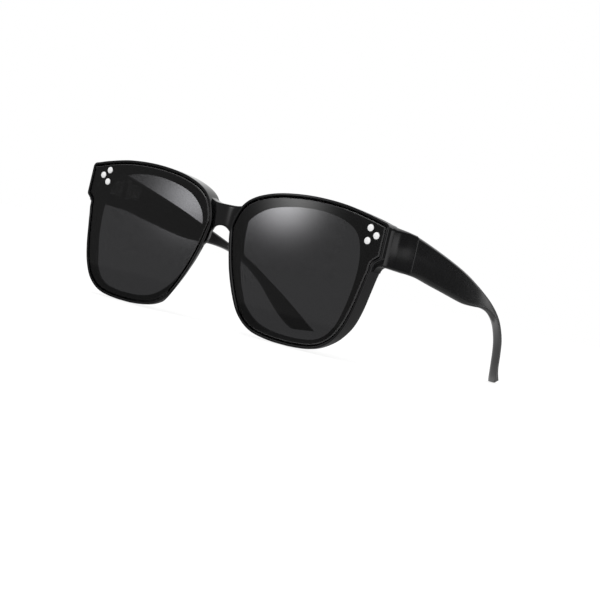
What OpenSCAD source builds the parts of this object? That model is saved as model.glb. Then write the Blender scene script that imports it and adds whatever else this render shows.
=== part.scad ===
// Fit-over sunglasses: a deep front frame with two full-cover lens panels,
// folding temples on five-knuckle metal hinges, and three domed studs at each outer corner.
// +X is the wearer's left, +Y runs back along the temples, +Z is up.

/* [Lenses] */
// Width of the clear view through one lens
lens_w = 55.8; // [48:0.2:60]
// Height of the clear view through one lens
lens_h = 48.8; // [42:0.2:54]
// Gap between the two clear views, over the nose
lens_gap = 19.4; // [18:0.2:26]
// Thickness of a tinted lens panel
lens_t = 2.0; // [1.6:0.1:2.6]
// Clearance round the edge of a lens panel
lens_fit = 0.08; // [0.05:0.01:0.15]

/* [Front frame] */
// Radius of the front's curve, seen from above
front_r = 1400; // [700:20:3000]
// Rim beside the clear view, on the nose side
rim_nose = 4.8; // [4.6:0.1:7]
// Rim beside the clear view, on the temple side
rim_side = 9.7; // [8.5:0.1:12]
// Rim above the clear view
rim_top = 4.75; // [4:0.05:7]
// Rim below the clear view
rim_bottom = 3.55; // [3:0.05:6]
// Width of the lip that stands round a lens panel
lip_w = 1.0; // [0.8:0.1:1.6]
// Thickness of the ledge that a lens panel seats on
ledge_t = 1.4; // [1:0.1:2]
// Greatest depth of the rim, along the brow
rim_depth = 7.5; // [6.4:0.1:9]
// Depth of the rim on its outer side, below the end piece
rim_side_depth = 6.9; // [5.6:0.1:8]
// Depth of the rim beside the nose
rim_nose_depth = 5.0; // [4.6:0.1:6]
// Depth of the rim at its lowest point
rim_low_depth = 3.7; // [3.6:0.1:5]
// Thickness of the rim's wall
wall_t = 1.6; // [1.4:0.1:2.6]
// Thickness of the rim's wall where it leans in beside the nose
nose_wall_t = 1.2; // [1:0.1:2]
// How far the back of the ledge is relieved on the nose side, so that it hides less at a slant
ledge_relief = 0.5; // [0.2:0.1:0.8]
// Thickness of the ledge's edge at that relief
ledge_edge_t = 0.6; // [0.5:0.1:1]
// Angle at which the nose side of the rim leans away from the nose
nose_lean = 29; // [10:1:32]
// Radius of the leaning cylinder that the nose side of the rim follows
nose_r = 89.9; // [80:0.1:100]
// Distance of the brow's outer corner down from the rim's top
brow_drop = 4.5; // [3.5:0.1:6]
// Length of the upright outer edge, from the brow's corner down to the notch
brow_run = 13.15; // [11:0.05:15]
// How far the rim steps in at the notch below the end piece
notch_in = 3.25; // [2:0.05:4.5]
// Height of that step
notch_fall = 2.5; // [1.5:0.1:4]
// Round at the brow's outer corner
brow_r = 2.0; // [1:0.1:3]
// Round at the head of the notch
notch_head_r = 1.6; // [1:0.1:2]
// Round at the foot of the notch
notch_foot_r = 2.4; // [1.5:0.1:3]

/* [Bridge] */
// Height of the bridge's arch above the middle of the lenses
arch_z = 10.5; // [8:0.1:13]
// Radius of the arch at the front
arch_r = 5.3; // [4.6:0.1:5.6]
// Widening of the arch from front to back, per millimetre of depth
arch_flare = 0.58; // [0.1:0.02:0.6]
// Height of the bridge's top edge above the middle of the lenses
bridge_top_z = 19.3; // [17:0.1:22]
// How far the bridge lies behind the front face
bridge_recess = 1.0; // [0.6:0.1:2]
// Thickness of the bridge from front to back
bridge_t = 5.0; // [3.5:0.1:5.5]

/* [End pieces] */
// Distance from the front face back to the joint with a temple
joint_y = 21.6; // [20:0.2:26]
// Thickness of an end piece at the joint
end_t = 4.4; // [4:0.1:5.5]
// How far an end piece swells outwards between the rim and the joint
end_swell = 1.2; // [0.5:0.1:2]
// Height of an end piece's underside above the middle of the lenses
end_low_z = 9.0; // [7:0.2:11]
// Slope of an end piece's top edge down towards the joint, in degrees
end_top_fall = 4.2; // [0:0.2:6]
// Slope of an end piece's underside down towards the joint, in degrees
end_low_fall = 2.0; // [0:0.2:4]
// How far the root of an end piece reaches in over the rim
end_root = 2.6; // [2:0.1:4]
// Round between an end piece's underside and the rim
end_fillet_r = 2.6; // [1.5:0.1:3.2]

/* [Studs] */
// Diameter of a stud's domed head
stud_d = 2.9; // [1.8:0.1:3]
// Height of a stud's dome
stud_h = 0.45; // [0.3:0.05:0.8]
// Width of the groove round a stud's head
stud_groove = 0.35; // [0.2:0.05:0.5]
// Depth at which a stud's head seats in the lens panel
stud_seat = 0.3; // [0.2:0.05:0.6]
// Diameter of a stud's shank
stud_shank_d = 1.0; // [0.8:0.1:1.3]
// Clearance round a stud's shank
stud_fit = 0.02; // [0.01:0.01:0.05]
// Distance of the studs' middle in from the rim's outer edge
stud_in_x = 7.9; // [7.4:0.1:9]
// Distance of the studs' middle down from the rim's top edge
stud_in_z = 9.2; // [8:0.1:11]
// How far both groups of studs are set towards the wearer's left of their mirrored places
stud_off_x = 1.3; // [0:0.1:1.5]
// How far the left group is set below its mirrored place and the right group above
stud_off_z = 0.45; // [0:0.05:0.6]

/* [Temples] */
// Length of a temple from the joint to the back of its tip
temple_len = 131.6; // [120:0.5:145]
// Thickness of a temple at the joint
temple_t = 4.2; // [3.6:0.1:5]
// Thickness of a temple behind the ear
temple_tail_t = 3.6; // [3:0.1:4.2]
// Gap between the end piece and the temple when open
joint_gap = 0.15; // [0.1:0.05:0.3]

/* [Hinges] */
// Diameter of a hinge knuckle
knuckle_d = 3.0; // [2.6:0.1:3.4]
// Height of all five knuckles together
hinge_h = 8.0; // [6:0.2:9]
// Height of the hinge's middle above the middle of the lenses
hinge_z = 16.6; // [15:0.2:18]
// Clearance between one knuckle and the next
knuckle_gap = 0.08; // [0.05:0.01:0.15]
// Length of a hinge leaf along the temple
leaf_len = 9.4; // [8:0.2:12]
// Thickness of a hinge leaf
leaf_t = 1.0; // [0.8:0.1:1.2]
// Diameter of the hinge screw's shank
pin_d = 1.3; // [1:0.1:1.5]
// Radial running clearance of the hinge screw
pin_fit = 0.03; // [0.02:0.01:0.06]
// Diameter of the hinge screw's head
pin_head_d = 2.4; // [2:0.1:2.8]
// Height of the hinge screw's head
pin_head_h = 0.7; // [0.5:0.1:1]
// Diameter of a leaf screw's shank
leaf_screw_d = 1.2; // [1:0.1:1.4]
// Diameter of a leaf screw's countersunk head
leaf_screw_head_d = 2.2; // [1.9:0.1:2.4]
// Length of a leaf screw
leaf_screw_len = 2.8; // [2.2:0.1:3.2]
// Clearance round a hinge where it turns beside the plastic
hinge_relief = 0.3; // [0.2:0.05:0.5]
// Width of a screw's slot
slot_w = 0.4; // [0.3:0.05:0.5]
// Depth of a screw's slot
slot_depth = 0.3; // [0.2:0.05:0.4]

/* [Hidden] */

// Facets of curves: the front's long radius, small round parts, and steps between outline points
wide_fn = 360;
round_fn = 40;
curve_steps = 4;
// Overrun of a cut past a face, and the largest coordinate that a cut has to reach
cut = 1;
reach = 60;

// The rim's outer box, seen from the front
rim_x0 = lens_gap / 2 - rim_nose;
rim_w = rim_nose + lens_w + rim_side;
rim_z0 = -lens_h / 2 - rim_bottom;
rim_h = rim_bottom + lens_h + rim_top;
rim_x1 = rim_x0 + rim_w;
rim_z1 = rim_z0 + rim_h;
// A distance back that lies behind the deepest rim
deep = rim_depth + front_y(rim_x1) + 2 * cut;

// Outline of a clear view, in halves of its width and height from its middle
view_shape = [
    [0.18, 1.0], [0.58, 0.943], [0.845, 0.80], [0.967, 0.533], [1.0, 0.164], [0.946, -0.328],
    [0.83, -0.717], [0.60, -0.94], [0.15, -1.0], [-0.304, -0.943], [-0.61, -0.738], [-0.83, -0.41],
    [-0.964, -0.02], [-1.0, 0.246], [-0.938, 0.574], [-0.685, 0.828], [-0.286, 0.959]
];

// Outline of a rim from the foot of its outer notch round below the lens to the brow,
// in shares of the rim's width and height
rim_shape = [
    [0.953, 0.600], [0.943, 0.545], [0.929, 0.4545], [0.908, 0.332], [0.872, 0.202], [0.8125, 0.094],
    [0.713, 0.0240], [0.557, 0.0002], [0.4006, 0.0060], [0.280, 0.0377], [0.185, 0.118], [0.118, 0.237],
    [0.0676, 0.367], [0.0299, 0.507], [0.0021, 0.647], [0.0114, 0.743], [0.051, 0.843], [0.1236, 0.913],
    [0.244, 0.964], [0.386, 0.991], [0.543, 1.0], [0.713, 0.989], [0.869, 0.957], [0.955, 0.9325]
];
brow_corner = [rim_x1, rim_z1 - brow_drop];
notch_head = brow_corner - [0, brow_run];
notch_foot = notch_head - [notch_in, notch_fall];

// The nose side of a rim follows a cylinder that leans away from the nose towards the back.
// Its middle at the front face, and the direction of the lean, seen from the front.
nose_c = [rim_x0 + 1.114 * nose_r, rim_z0 + 1.0352 * rim_h];
nose_dir = 20;

// Back edge of a rim, seen from the side: it comes forward below the end piece and at the chin.
// The first value is a share of the way back from the lowest point's depth to the side's,
// the second a share of the height from the lowest point to the foot of the notch.
side_back_y = rim_side_depth + front_y(rim_x1 - notch_in);
low_back_y = rim_low_depth + front_y(rim_x0 + rim_w / 2);
back_shape = [
    [0, 0], [0.112, 0.084], [0.29, 0.145], [0.565, 0.222], [0.833, 0.314], [0.958, 0.411],
    [0.992, 0.541], [0.992, 0.892], [1.08, 1.0], [1.26, 1.135]
];
back_edge = [for (p = back_shape)
    [low_back_y + (side_back_y - low_back_y) * p[0], rim_z0 + (notch_foot[1] - rim_z0) * p[1]]];
// The plane that trims the rims' backs, deeper towards the brow and the temples
trim_turn = 5.4;
trim_lean = 6.3;
trim_y = rim_nose_depth - 0.9;

// The bridge's top edge from the middle of the nose outwards, as heights above its lowest point
bridge_edge = [[0, 0], [3.5, 0.05], [6.2, 0.35], [9, 1.3], [12, 2.8]];

// Outer face of an end piece
end_x = rim_x1 + end_swell;
// Inner face of an end piece, where the hinge lies
hinge_face_x = end_x - end_t;
// Axis of a hinge
leaf_sunk = leaf_t / 2;
axis_x = hinge_face_x + leaf_sunk - knuckle_d / 2;
axis_y = joint_y;
knuckle_h = hinge_h / 5;
relief_r = knuckle_d / 2 + hinge_relief;
// Places of the two screws along a leaf, counted from the axis
leaf_screw_y = [leaf_len - 2, leaf_len - 5.2];
// Height of a leaf's plate, which is a knuckle lower than the hinge
leaf_h = hinge_h - knuckle_h;
leaf_x = hinge_face_x + leaf_sunk - leaf_t;
leaf_end_fit = 0.02;
leaf_screw_head_h = (leaf_screw_head_d - leaf_screw_d) / 2;

// A temple's upper and lower edges, seen from the side. Each pair of points is joined by one ring.
// Distances run back from the joint in shares of the temple's length, and heights are in millimetres
// from the middle of the lenses.
temple_top = [
    [0.0, 23.3], [0.061, 21.9], [0.136, 20.0], [0.212, 17.95], [0.288, 15.75], [0.348, 13.8],
    [0.401, 11.85], [0.454, 9.85], [0.507, 7.8], [0.56, 5.6], [0.613, 3.2], [0.665, 0.4],
    [0.716, -2.9], [0.767, -6.7], [0.82, -10.9], [0.872, -15.5], [0.923, -20.3], [0.966, -24.2],
    [1.0, -26.9]
];
temple_low = [
    [0.0, 8.43], [0.062, 7.97], [0.138, 6.5], [0.214, 5.15], [0.290, 3.8], [0.347, 2.9],
    [0.389, 2.62], [0.433, 2.65], [0.479, 2.75], [0.527, 2.4], [0.575, 1.5], [0.623, -0.15],
    [0.669, -2.6], [0.714, -6.0], [0.758, -10.3], [0.797, -15.3], [0.836, -20.5], [0.876, -25.0],
    [0.912, rim_z0]
];
// Middle of the temple's thickness seen from above: share of the length, and distance out from the
// middle at the joint
temple_plan = [
    [0.0, 0.0], [0.14, 0.5], [0.28, 0.5], [0.40, -0.35], [0.48, -1.4], [0.556, -2.9], [0.632, -5.0],
    [0.708, -7.6], [0.784, -10.9], [0.86, -15.2], [0.93, -19.4], [1.0, -22.6]
];
temple_mid_x = end_x - temple_t / 2;
temple_edge_r = 1.3;
temple_ring_steps = 2;
// Share of a temple's length over which it thins to its tail
temple_thin_share = 0.55;
temple_y0 = joint_y + joint_gap;

// The part stands on its rims and temple tips, with the origin under the middle of its box
part_len = temple_y0 + temple_len;

// Smooth curve through points, open or closed
function blend(a, b, c, d, t) =
    0.5 * (2 * b + (c - a) * t + (2 * a - 5 * b + 4 * c - d) * t * t + (3 * b - a - 3 * c + d) * t * t * t);
function closed_curve(p, n) =
    let (m = len(p))
    [for (i = [0 : m - 1], j = [0 : n - 1])
        blend(p[(i + m - 1) % m], p[i], p[(i + 1) % m], p[(i + 2) % m], j / n)];
function open_curve(p, n) =
    let (m = len(p))
    concat(
        [for (i = [0 : m - 2], j = [0 : n - 1])
            blend(p[max(i - 1, 0)], p[i], p[i + 1], p[min(i + 2, m - 1)], j / n)],
        [p[m - 1]]
    );

// Round of radius r at corner q of the path a, q, b
function unit(v) = v / norm(v);
function corner_round(a, q, b, r, n) =
    let (
        u = unit(a - q),
        v = unit(b - q),
        half = acos(u * v) / 2,
        c = q + unit(u + v) * r / sin(half),
        s = q + u * r / tan(half) - c,
        e = q + v * r / tan(half) - c,
        a0 = atan2(s[1], s[0]),
        turn = atan2(s[0] * e[1] - s[1] * e[0], s * e)
    )
    [for (i = [0 : n]) c + r * [cos(a0 + turn * i / n), sin(a0 + turn * i / n)]];

// Distance back of the front face at a distance out from the nose
function front_y(x) = front_r - sqrt(front_r * front_r - x * x);

// Value at x of a table of [x, value] pairs
function table(t, x, i = 0) =
    (i >= len(t) - 2 || x < t[i + 1][0])
        ? t[i][1] + (t[i + 1][1] - t[i][1]) * (x - t[i][0]) / (t[i + 1][0] - t[i][0])
        : table(t, x, i + 1);

view_points = closed_curve(
    [for (p = view_shape) [lens_gap / 2 + lens_w / 2 * (1 + p[0]), lens_h / 2 * p[1]]], curve_steps);
rim_curve = open_curve(
    [for (p = rim_shape) [rim_x0 + rim_w * p[0], rim_z0 + rim_h * p[1]]], curve_steps);
rim_points = concat(
    rim_curve,
    corner_round(rim_curve[len(rim_curve) - 1], brow_corner, notch_head, brow_r, 5),
    corner_round(brow_corner, notch_head, notch_foot, notch_head_r, 4),
    corner_round(notch_head, notch_foot, rim_curve[0], notch_foot_r, 4)
);
bridge_curve = open_curve([for (p = bridge_edge) [p[0], bridge_top_z + p[1]]], curve_steps);
plan_points = open_curve(temple_plan, 4);

// Everything is drawn about the middle of the nose and set down on the ground here
module place() {
    translate([0, -part_len / 2, -rim_z0]) children();
}

module side(s) {
    if (s > 0) place() children();
    else place() mirror([1, 0, 0]) children();
}

// Flat outline, seen from the front, drawn out from y0 to y1
module plate(y0, y1) {
    translate([0, y1, 0]) rotate([90, 0, 0]) linear_extrude(y1 - y0) children();
}

// What lies between two depths behind the curved front face
module layer(d0, d1) {
    difference() {
        intersection() {
            children();
            translate([0, front_r, -reach]) cylinder(r = front_r - d0, h = 2 * reach, $fn = wide_fn);
        }
        translate([0, front_r, -reach - cut])
            cylinder(r = front_r - d1, h = 2 * (reach + cut), $fn = wide_fn);
    }
}

// The rim's outline from the front, cut flat at the foot that it stands on
module rim_outline(inset = 0) {
    offset(delta = -inset) intersection() {
        polygon(rim_points);
        translate([0, rim_z0]) square(2 * reach);
    }
}

// Cylinder that the nose side of the rim follows, made smaller by an inset
module nose_cylinder(inset = 0) {
    translate([nose_c[0], 0, nose_c[1]]) rotate([0, -nose_dir, 0]) rotate([-90, 0, -nose_lean])
        translate([0, 0, -nose_r]) cylinder(r = nose_r - inset, h = 2 * nose_r, $fn = 240);
}

// What lies inside the rim's outline, made smaller by an inset, between two distances back.
// The nose side may have an inset of its own.
module rim_body(y0, y1, inset = 0, nose_inset = undef) {
    intersection() {
        plate(y0, y1) rim_outline(inset);
        nose_cylinder(is_undef(nose_inset) ? inset : nose_inset);
    }
}

// What lies in front of the rims' back edge
module rim_front_part() {
    intersection() {
        translate([-cut, 0, 0]) rotate([90, 0, 90]) linear_extrude(rim_x1 + end_swell + 2 * cut)
            polygon(concat(
                [[-cut, rim_z0 - cut], [low_back_y, rim_z0 - cut]],
                open_curve(back_edge, curve_steps),
                [[deep, notch_head[1] + brow_run / 3], [deep, rim_z1 + cut], [-cut, rim_z1 + cut]]
            ));
        translate([0, trim_y, 0]) rotate([-trim_lean, 0, trim_turn])
            translate([-reach, -reach, -reach]) cube([4 * reach, reach, 2 * reach]);
    }
}

// One eye's ring: the walls, and the ledge that the lens panel seats on
module eye_ring() {
    difference() {
        layer(lens_t, rim_depth) intersection() {
            rim_body(0, deep);
            rim_front_part();
        }
        layer(lens_t + ledge_t, deep) rim_body(0, 2 * deep, wall_t, nose_wall_t);
        plate(-cut, deep) polygon(view_points);
        layer(lens_t + ledge_edge_t, lens_t + ledge_t + cut / 4)
            translate([-ledge_relief, 0, 0]) plate(-cut, deep) polygon(view_points);
    }
}

// The lip that stands round a lens panel
module lip() {
    layer(0, lens_t) difference() {
        rim_body(-cut, deep);
        rim_body(-2 * cut, deep + cut, lip_w);
    }
}

// Half of the bridge, from the middle of the nose to inside one ring
module half_bridge() {
    low_z = arch_z - arch_r;
    last = bridge_edge[len(bridge_edge) - 1];
    difference() {
        layer(bridge_recess, bridge_recess + bridge_t) plate(0, deep)
            polygon(concat(bridge_curve, [[last[0], low_z], [0, low_z]]));
        rim_body(-cut, deep + cut, wall_t / 2);
        arch();
    }
}

// The arch over the nose, wider at the back
module arch() {
    run = bridge_t + 2 * cut;
    translate([0, bridge_recess - cut, arch_z - arch_r]) rotate([-90, 0, 0])
        cylinder(r1 = arch_r - arch_flare * cut, r2 = arch_r + arch_flare * (run - cut), h = run, $fn = 96);
}

// The block that carries a temple, from the rim back to the joint
module end_piece() {
    y0 = front_y(rim_x1) + lens_t;
    len_y = joint_y - y0;
    web_x = hinge_face_x - end_root;
    difference() {
        translate([0, 0, end_low_z - 2]) linear_extrude(brow_corner[1] - end_low_z + 2)
            polygon(concat(
                open_curve([[rim_x1, y0], [rim_x1 + 0.5 * end_swell, y0 + 0.25 * len_y],
                    [rim_x1 + 0.88 * end_swell, y0 + 0.57 * len_y], [end_x, joint_y]], curve_steps),
                [[hinge_face_x, joint_y]],
                open_curve([[hinge_face_x, y0 + 7.2], [hinge_face_x - 0.7, y0 + 5], [web_x, y0 + 3.7]],
                    curve_steps),
                [[web_x, front_y(web_x) + lens_t]]
            ));
        // The top edge and the underside fall slightly towards the joint
        translate([web_x - cut, y0, brow_corner[1]]) rotate([-end_top_fall, 0, 0])
            cube([2 * reach, reach, reach]);
        translate([web_x - cut, y0 - reach, end_low_z - reach]) cube([2 * reach, reach, reach]);
        translate([web_x - cut, y0, end_low_z]) rotate([-end_low_fall, 0, 0])
            translate([0, -cut, -reach]) cube([2 * reach, reach, reach]);
    }
}

// Round between an end piece's underside and the outer wall of the rim
module end_fillet() {
    r = end_fillet_r;
    root = 0.8 * wall_t;
    wall_x = notch_foot[0];
    y0 = front_y(rim_x1) + lens_t;
    difference() {
        translate([wall_x - root, y0, end_low_z - r])
            cube([r + root, side_back_y - y0 - 0.3, r + 0.6]);
        translate([wall_x + r, y0 - cut, end_low_z - r]) rotate([-90, 0, 0])
            cylinder(r = r, h = deep, $fn = round_fn);
    }
}

// Room for the knuckles, their roots and one leaf, on the inner face of an end piece or temple
module hinge_pocket(dir) {
    y0 = dir > 0 ? axis_y : axis_y - leaf_len - leaf_end_fit;
    if (dir < 0)
        translate([hinge_face_x - cut, axis_y - knuckle_d, hinge_z - hinge_h / 2 - knuckle_gap])
            cube([leaf_sunk + cut, knuckle_d, hinge_h + knuckle_gap]);
    translate([axis_x, axis_y, hinge_z - hinge_h / 2 - hinge_relief])
        cylinder(r = relief_r, h = hinge_h + pin_head_h + 2 * hinge_relief, $fn = round_fn);
    translate([hinge_face_x - cut, y0, hinge_z - leaf_h / 2])
        cube([leaf_sunk + cut, leaf_len + leaf_end_fit, leaf_h]);
    for (s = leaf_screw_y)
        translate([hinge_face_x, axis_y + dir * s, hinge_z]) rotate([0, 90, 0])
            cylinder(d = leaf_screw_d, h = leaf_screw_len - leaf_sunk, $fn = round_fn);
}

// The studs' places on side s, seen from the front
stud_triangle = stud_d * [[-0.345, 0.845], [0.741, 0], [-0.379, -0.828]];
function stud_places(s) =
    [for (p = stud_triangle) [rim_x1 - stud_in_x, rim_z1 - stud_in_z] + p + s * [stud_off_x, -stud_off_z]];

// Holes along Y at the studs' places on side s, from y0 to a depth behind the front face
module stud_holes(s, d, y0, depth) {
    for (p = stud_places(s))
        translate([p[0], y0, p[1]]) rotate([-90, 0, 0])
            cylinder(d = d, h = front_y(p[0]) + depth - y0, $fn = round_fn);
}

module front_frame() {
    color([0.06, 0.06, 0.065]) place() difference() {
        union() {
            for (m = [0, 1]) mirror([m, 0, 0]) {
                eye_ring();
                lip();
                half_bridge();
                end_piece();
                end_fillet();
            }
        }
        for (m = [0, 1]) mirror([m, 0, 0]) {
            hinge_pocket(-1);
            stud_holes(1 - 2 * m, stud_shank_d, 0, lens_t + ledge_t + cut);
        }
    }
}

module lens(s) {
    color([0.12, 0.12, 0.13, 0.8]) side(s) difference() {
        layer(0, lens_t) rim_body(-cut, lens_t + 6, lip_w + lens_fit);
        stud_holes(s, stud_shank_d, -cut, lens_t + 2 * cut);
        stud_holes(s, stud_d + 2 * stud_groove, -cut, stud_seat);
    }
}

// Three domed studs through the lens panel and the ledge behind it
module corner_studs(s) {
    dome_r = (stud_d * stud_d / 4 + stud_h * stud_h) / (2 * stud_h);
    color([0.85, 0.85, 0.86]) side(s) for (p = stud_places(s))
        translate([p[0], front_y(p[0]) + stud_seat, p[1]]) {
            rotate([-90, 0, 0])
                cylinder(d = stud_shank_d - 2 * stud_fit, h = lens_t + ledge_t - stud_seat, $fn = round_fn);
            rotate([90, 0, 0]) intersection() {
                translate([0, 0, stud_seat + stud_h - dome_r]) sphere(r = dome_r, $fn = round_fn);
                cylinder(d = stud_d, h = stud_seat + stud_h + cut, $fn = round_fn);
            }
        }
}

// One ring of a temple between an upper and a lower point: a rounded rectangle of 12 points
function ring(i, tops, lows) =
    let (
        f = i / (len(tops) - 1),
        top = [temple_len * tops[i][0], tops[i][1]],
        low = [temple_len * lows[i][0], lows[i][1]],
        h = norm(top - low),
        t = temple_t + (temple_tail_t - temple_t) * min(1, f / temple_thin_share),
        r = min(temple_edge_r, t / 2 - 0.2)
    )
    [for (q = [[1, 1], [-1, 1], [-1, -1], [1, -1]], a = [0 : 45 : 90])
        let (
            k = q[0] * q[1] > 0 ? a : 90 - a,
            b = q[0] * (t / 2 - r + r * cos(k)),
            c = q[1] * (h / 2 - r + r * sin(k)),
            along = 0.5 + c / h,
            p = low + (top - low) * along
        )
        [temple_mid_x + table(plan_points, p[0] / temple_len) + b, temple_y0 + p[0], p[1]]];

module temple_blade() {
    tops = open_curve(temple_top, temple_ring_steps);
    lows = open_curve(temple_low, temple_ring_steps);
    n = len(tops);
    m = 12;
    points = [for (i = [0 : n - 1]) each ring(i, tops, lows)];
    sides = [for (i = [0 : n - 2], j = [0 : m - 1])
        let (a = i * m + j, b = i * m + (j + 1) % m)
        each [[a, b, a + m], [b, b + m, a + m]]];
    near = [for (j = [1 : m - 2]) [0, j + 1, j]];
    far = [for (j = [1 : m - 2]) [(n - 1) * m, (n - 1) * m + j, (n - 1) * m + j + 1]];
    polyhedron(points, concat(sides, near, far), convexity = 6);
}

module temple(s) {
    color([0.08, 0.08, 0.085]) side(s) difference() {
        temple_blade();
        hinge_pocket(1);
    }
}

// One leaf of a hinge: dir -1 lies on the front frame with three knuckles, dir 1 on the temple with two
module hinge_leaf(s, dir) {
    own = dir < 0 ? [0, 2, 4] : [1, 3];
    other = dir < 0 ? [1, 3] : [0, 2, 4];
    y0 = dir > 0 ? axis_y : axis_y - leaf_len;
    z0 = hinge_z - hinge_h / 2;
    color([0.72, 0.72, 0.74]) side(s) difference() {
        union() {
            translate([leaf_x, y0, hinge_z - leaf_h / 2]) cube([leaf_t, leaf_len, leaf_h]);
            for (k = own)
                translate([axis_x, axis_y, z0 + k * knuckle_h]) {
                    cylinder(d = knuckle_d, h = knuckle_h - knuckle_gap, $fn = round_fn);
                    translate([leaf_x - axis_x, dir > 0 ? 0 : -knuckle_d, 0])
                        cube([leaf_t, knuckle_d, knuckle_h - knuckle_gap]);
                }
        }
        for (k = other)
            translate([axis_x, axis_y, z0 + k * knuckle_h - knuckle_gap])
                cylinder(d = knuckle_d + 2 * hinge_relief, h = knuckle_h + knuckle_gap, $fn = round_fn);
        translate([axis_x, axis_y, z0 - cut])
            cylinder(d = pin_d + 2 * pin_fit, h = hinge_h + 2 * cut, $fn = round_fn);
        for (p = leaf_screw_y)
            translate([leaf_x, axis_y + dir * p, hinge_z]) rotate([0, 90, 0]) {
                translate([0, 0, -cut]) cylinder(d = leaf_screw_d, h = leaf_t + 2 * cut, $fn = round_fn);
                cylinder(d1 = leaf_screw_head_d, d2 = leaf_screw_d, h = leaf_screw_head_h, $fn = round_fn);
            }
    }
}

// The screw that is a hinge's pin, with a slotted head
module hinge_screw(s) {
    z0 = hinge_z - hinge_h / 2;
    z1 = z0 + hinge_h - knuckle_gap;
    color([0.78, 0.78, 0.8]) side(s) difference() {
        translate([axis_x, axis_y, 0]) {
            translate([0, 0, z0]) cylinder(d = pin_d, h = z1 - z0 + pin_head_h / 2, $fn = round_fn);
            translate([0, 0, z1]) cylinder(d = pin_head_d, h = pin_head_h, $fn = round_fn);
        }
        translate([axis_x - pin_head_d, axis_y - slot_w / 2, z1 + pin_head_h - slot_depth])
            cube([2 * pin_head_d, slot_w, cut]);
    }
}

// The two countersunk screws that hold a leaf
module leaf_screws(s, dir) {
    color([0.74, 0.74, 0.76]) side(s) for (p = leaf_screw_y)
        translate([leaf_x, axis_y + dir * p, hinge_z]) rotate([0, 90, 0]) difference() {
            union() {
                cylinder(d = leaf_screw_d, h = leaf_screw_len, $fn = round_fn);
                cylinder(d1 = leaf_screw_head_d, d2 = leaf_screw_d, h = leaf_screw_head_h, $fn = round_fn);
            }
            translate([-slot_w / 2, -leaf_screw_head_d, -cut])
                cube([slot_w, 2 * leaf_screw_head_d, cut + slot_depth]);
        }
}

front_frame();
lens(1);  // lens_left
lens(-1);  // lens_right
corner_studs(1);  // corner_studs_left
corner_studs(-1);  // corner_studs_right
temple(1);  // temple_left
temple(-1);  // temple_right
hinge_leaf(1, -1);  // front_hinge_leaf_left
hinge_leaf(-1, -1);  // front_hinge_leaf_right
hinge_leaf(1, 1);  // temple_hinge_leaf_left
hinge_leaf(-1, 1);  // temple_hinge_leaf_right
hinge_screw(1);  // hinge_screw_left
hinge_screw(-1);  // hinge_screw_right
leaf_screws(1, -1);  // front_leaf_screws_left
leaf_screws(-1, -1);  // front_leaf_screws_right
leaf_screws(1, 1);  // temple_leaf_screws_left
leaf_screws(-1, 1);  // temple_leaf_screws_right
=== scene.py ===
"""Fit-over sunglasses: the smooth visual pieces, their finishes, the studio and the camera.

Lengths are in millimetres in the front's own axes until a mesh is placed: x runs out from the middle of the
nose, y back from the front face, and z up from the middle of the lenses.
"""

import logging
import math
from contextlib import contextmanager
from dataclasses import dataclass
from enum import Enum
from functools import cached_property
from typing import Callable, Iterable, Iterator, Sequence

import bmesh
import bpy
from bpy.types import Material, Node, NodeSocket, NodeTree, Object
from mathutils import Euler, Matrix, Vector


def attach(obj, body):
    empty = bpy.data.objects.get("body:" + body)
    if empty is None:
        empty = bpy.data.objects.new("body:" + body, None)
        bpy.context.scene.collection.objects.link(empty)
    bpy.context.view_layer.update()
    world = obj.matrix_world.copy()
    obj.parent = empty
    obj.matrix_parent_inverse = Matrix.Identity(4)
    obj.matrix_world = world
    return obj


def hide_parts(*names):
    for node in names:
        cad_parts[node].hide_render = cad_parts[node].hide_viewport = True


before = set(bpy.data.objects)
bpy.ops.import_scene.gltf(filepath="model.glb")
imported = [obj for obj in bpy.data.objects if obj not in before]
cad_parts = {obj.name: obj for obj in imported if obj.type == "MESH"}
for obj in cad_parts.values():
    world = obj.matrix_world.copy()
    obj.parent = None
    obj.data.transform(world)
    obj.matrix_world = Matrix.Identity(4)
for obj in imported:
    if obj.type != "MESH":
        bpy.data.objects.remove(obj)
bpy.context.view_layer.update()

logging.basicConfig(level=logging.INFO, format="%(name)s: %(message)s")
LOG = logging.getLogger("sunglasses")

MM = 0.001
GROUND_Z = -27.95
HALF_LENGTH = 153.35 / 2
TOOL_SIDES = 40
TOOL_START = 1.0

Point = tuple[float, float]
Spot = tuple[float, float, float]
Loop = list[Vector]
Edge = Callable[[float], float]


class Side(Enum):
    """Which side of the wearer's head a piece is on."""

    LEFT = 1
    RIGHT = -1


class Leaf(Enum):
    """Which leaf of a hinge, by the way that it runs from the pin."""

    FRONT = -1
    TEMPLE = 1


class Change(Enum):
    """What a tool does to a piece."""

    ADDS = "UNION"
    CUTS = "DIFFERENCE"


def placed(x: float, y: float, z: float) -> Vector:
    """Returns a point of the model in the shared frame, in metres."""
    return Vector((x * MM, (y - HALF_LENGTH) * MM, (z - GROUND_Z) * MM))


def linear(code: str) -> tuple[float, float, float, float]:
    """Turns a hex sRGB colour into the linear colour that Blender's sockets take.

    Args:
        code: Six hex digits.

    Returns:
        Linear red, green and blue, and full opacity.
    """
    parts = [int(code[i:i + 2], 16) / 255 for i in (0, 2, 4)]
    red, green, blue = (c / 12.92 if c <= 0.04045 else ((c + 0.055) / 1.055) ** 2.4 for c in parts)
    return red, green, blue, 1.0


# Smooth curves


def blend(a: float, b: float, c: float, d: float, t: float) -> float:
    """Returns the value between b and c, at share t, of a smooth curve through a, b, c and d."""
    bend, twist = 2 * a - 5 * b + 4 * c - d, 3 * b - a - 3 * c + d
    return 0.5 * (2 * b + (c - a) * t + bend * t * t + twist * t ** 3)


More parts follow.
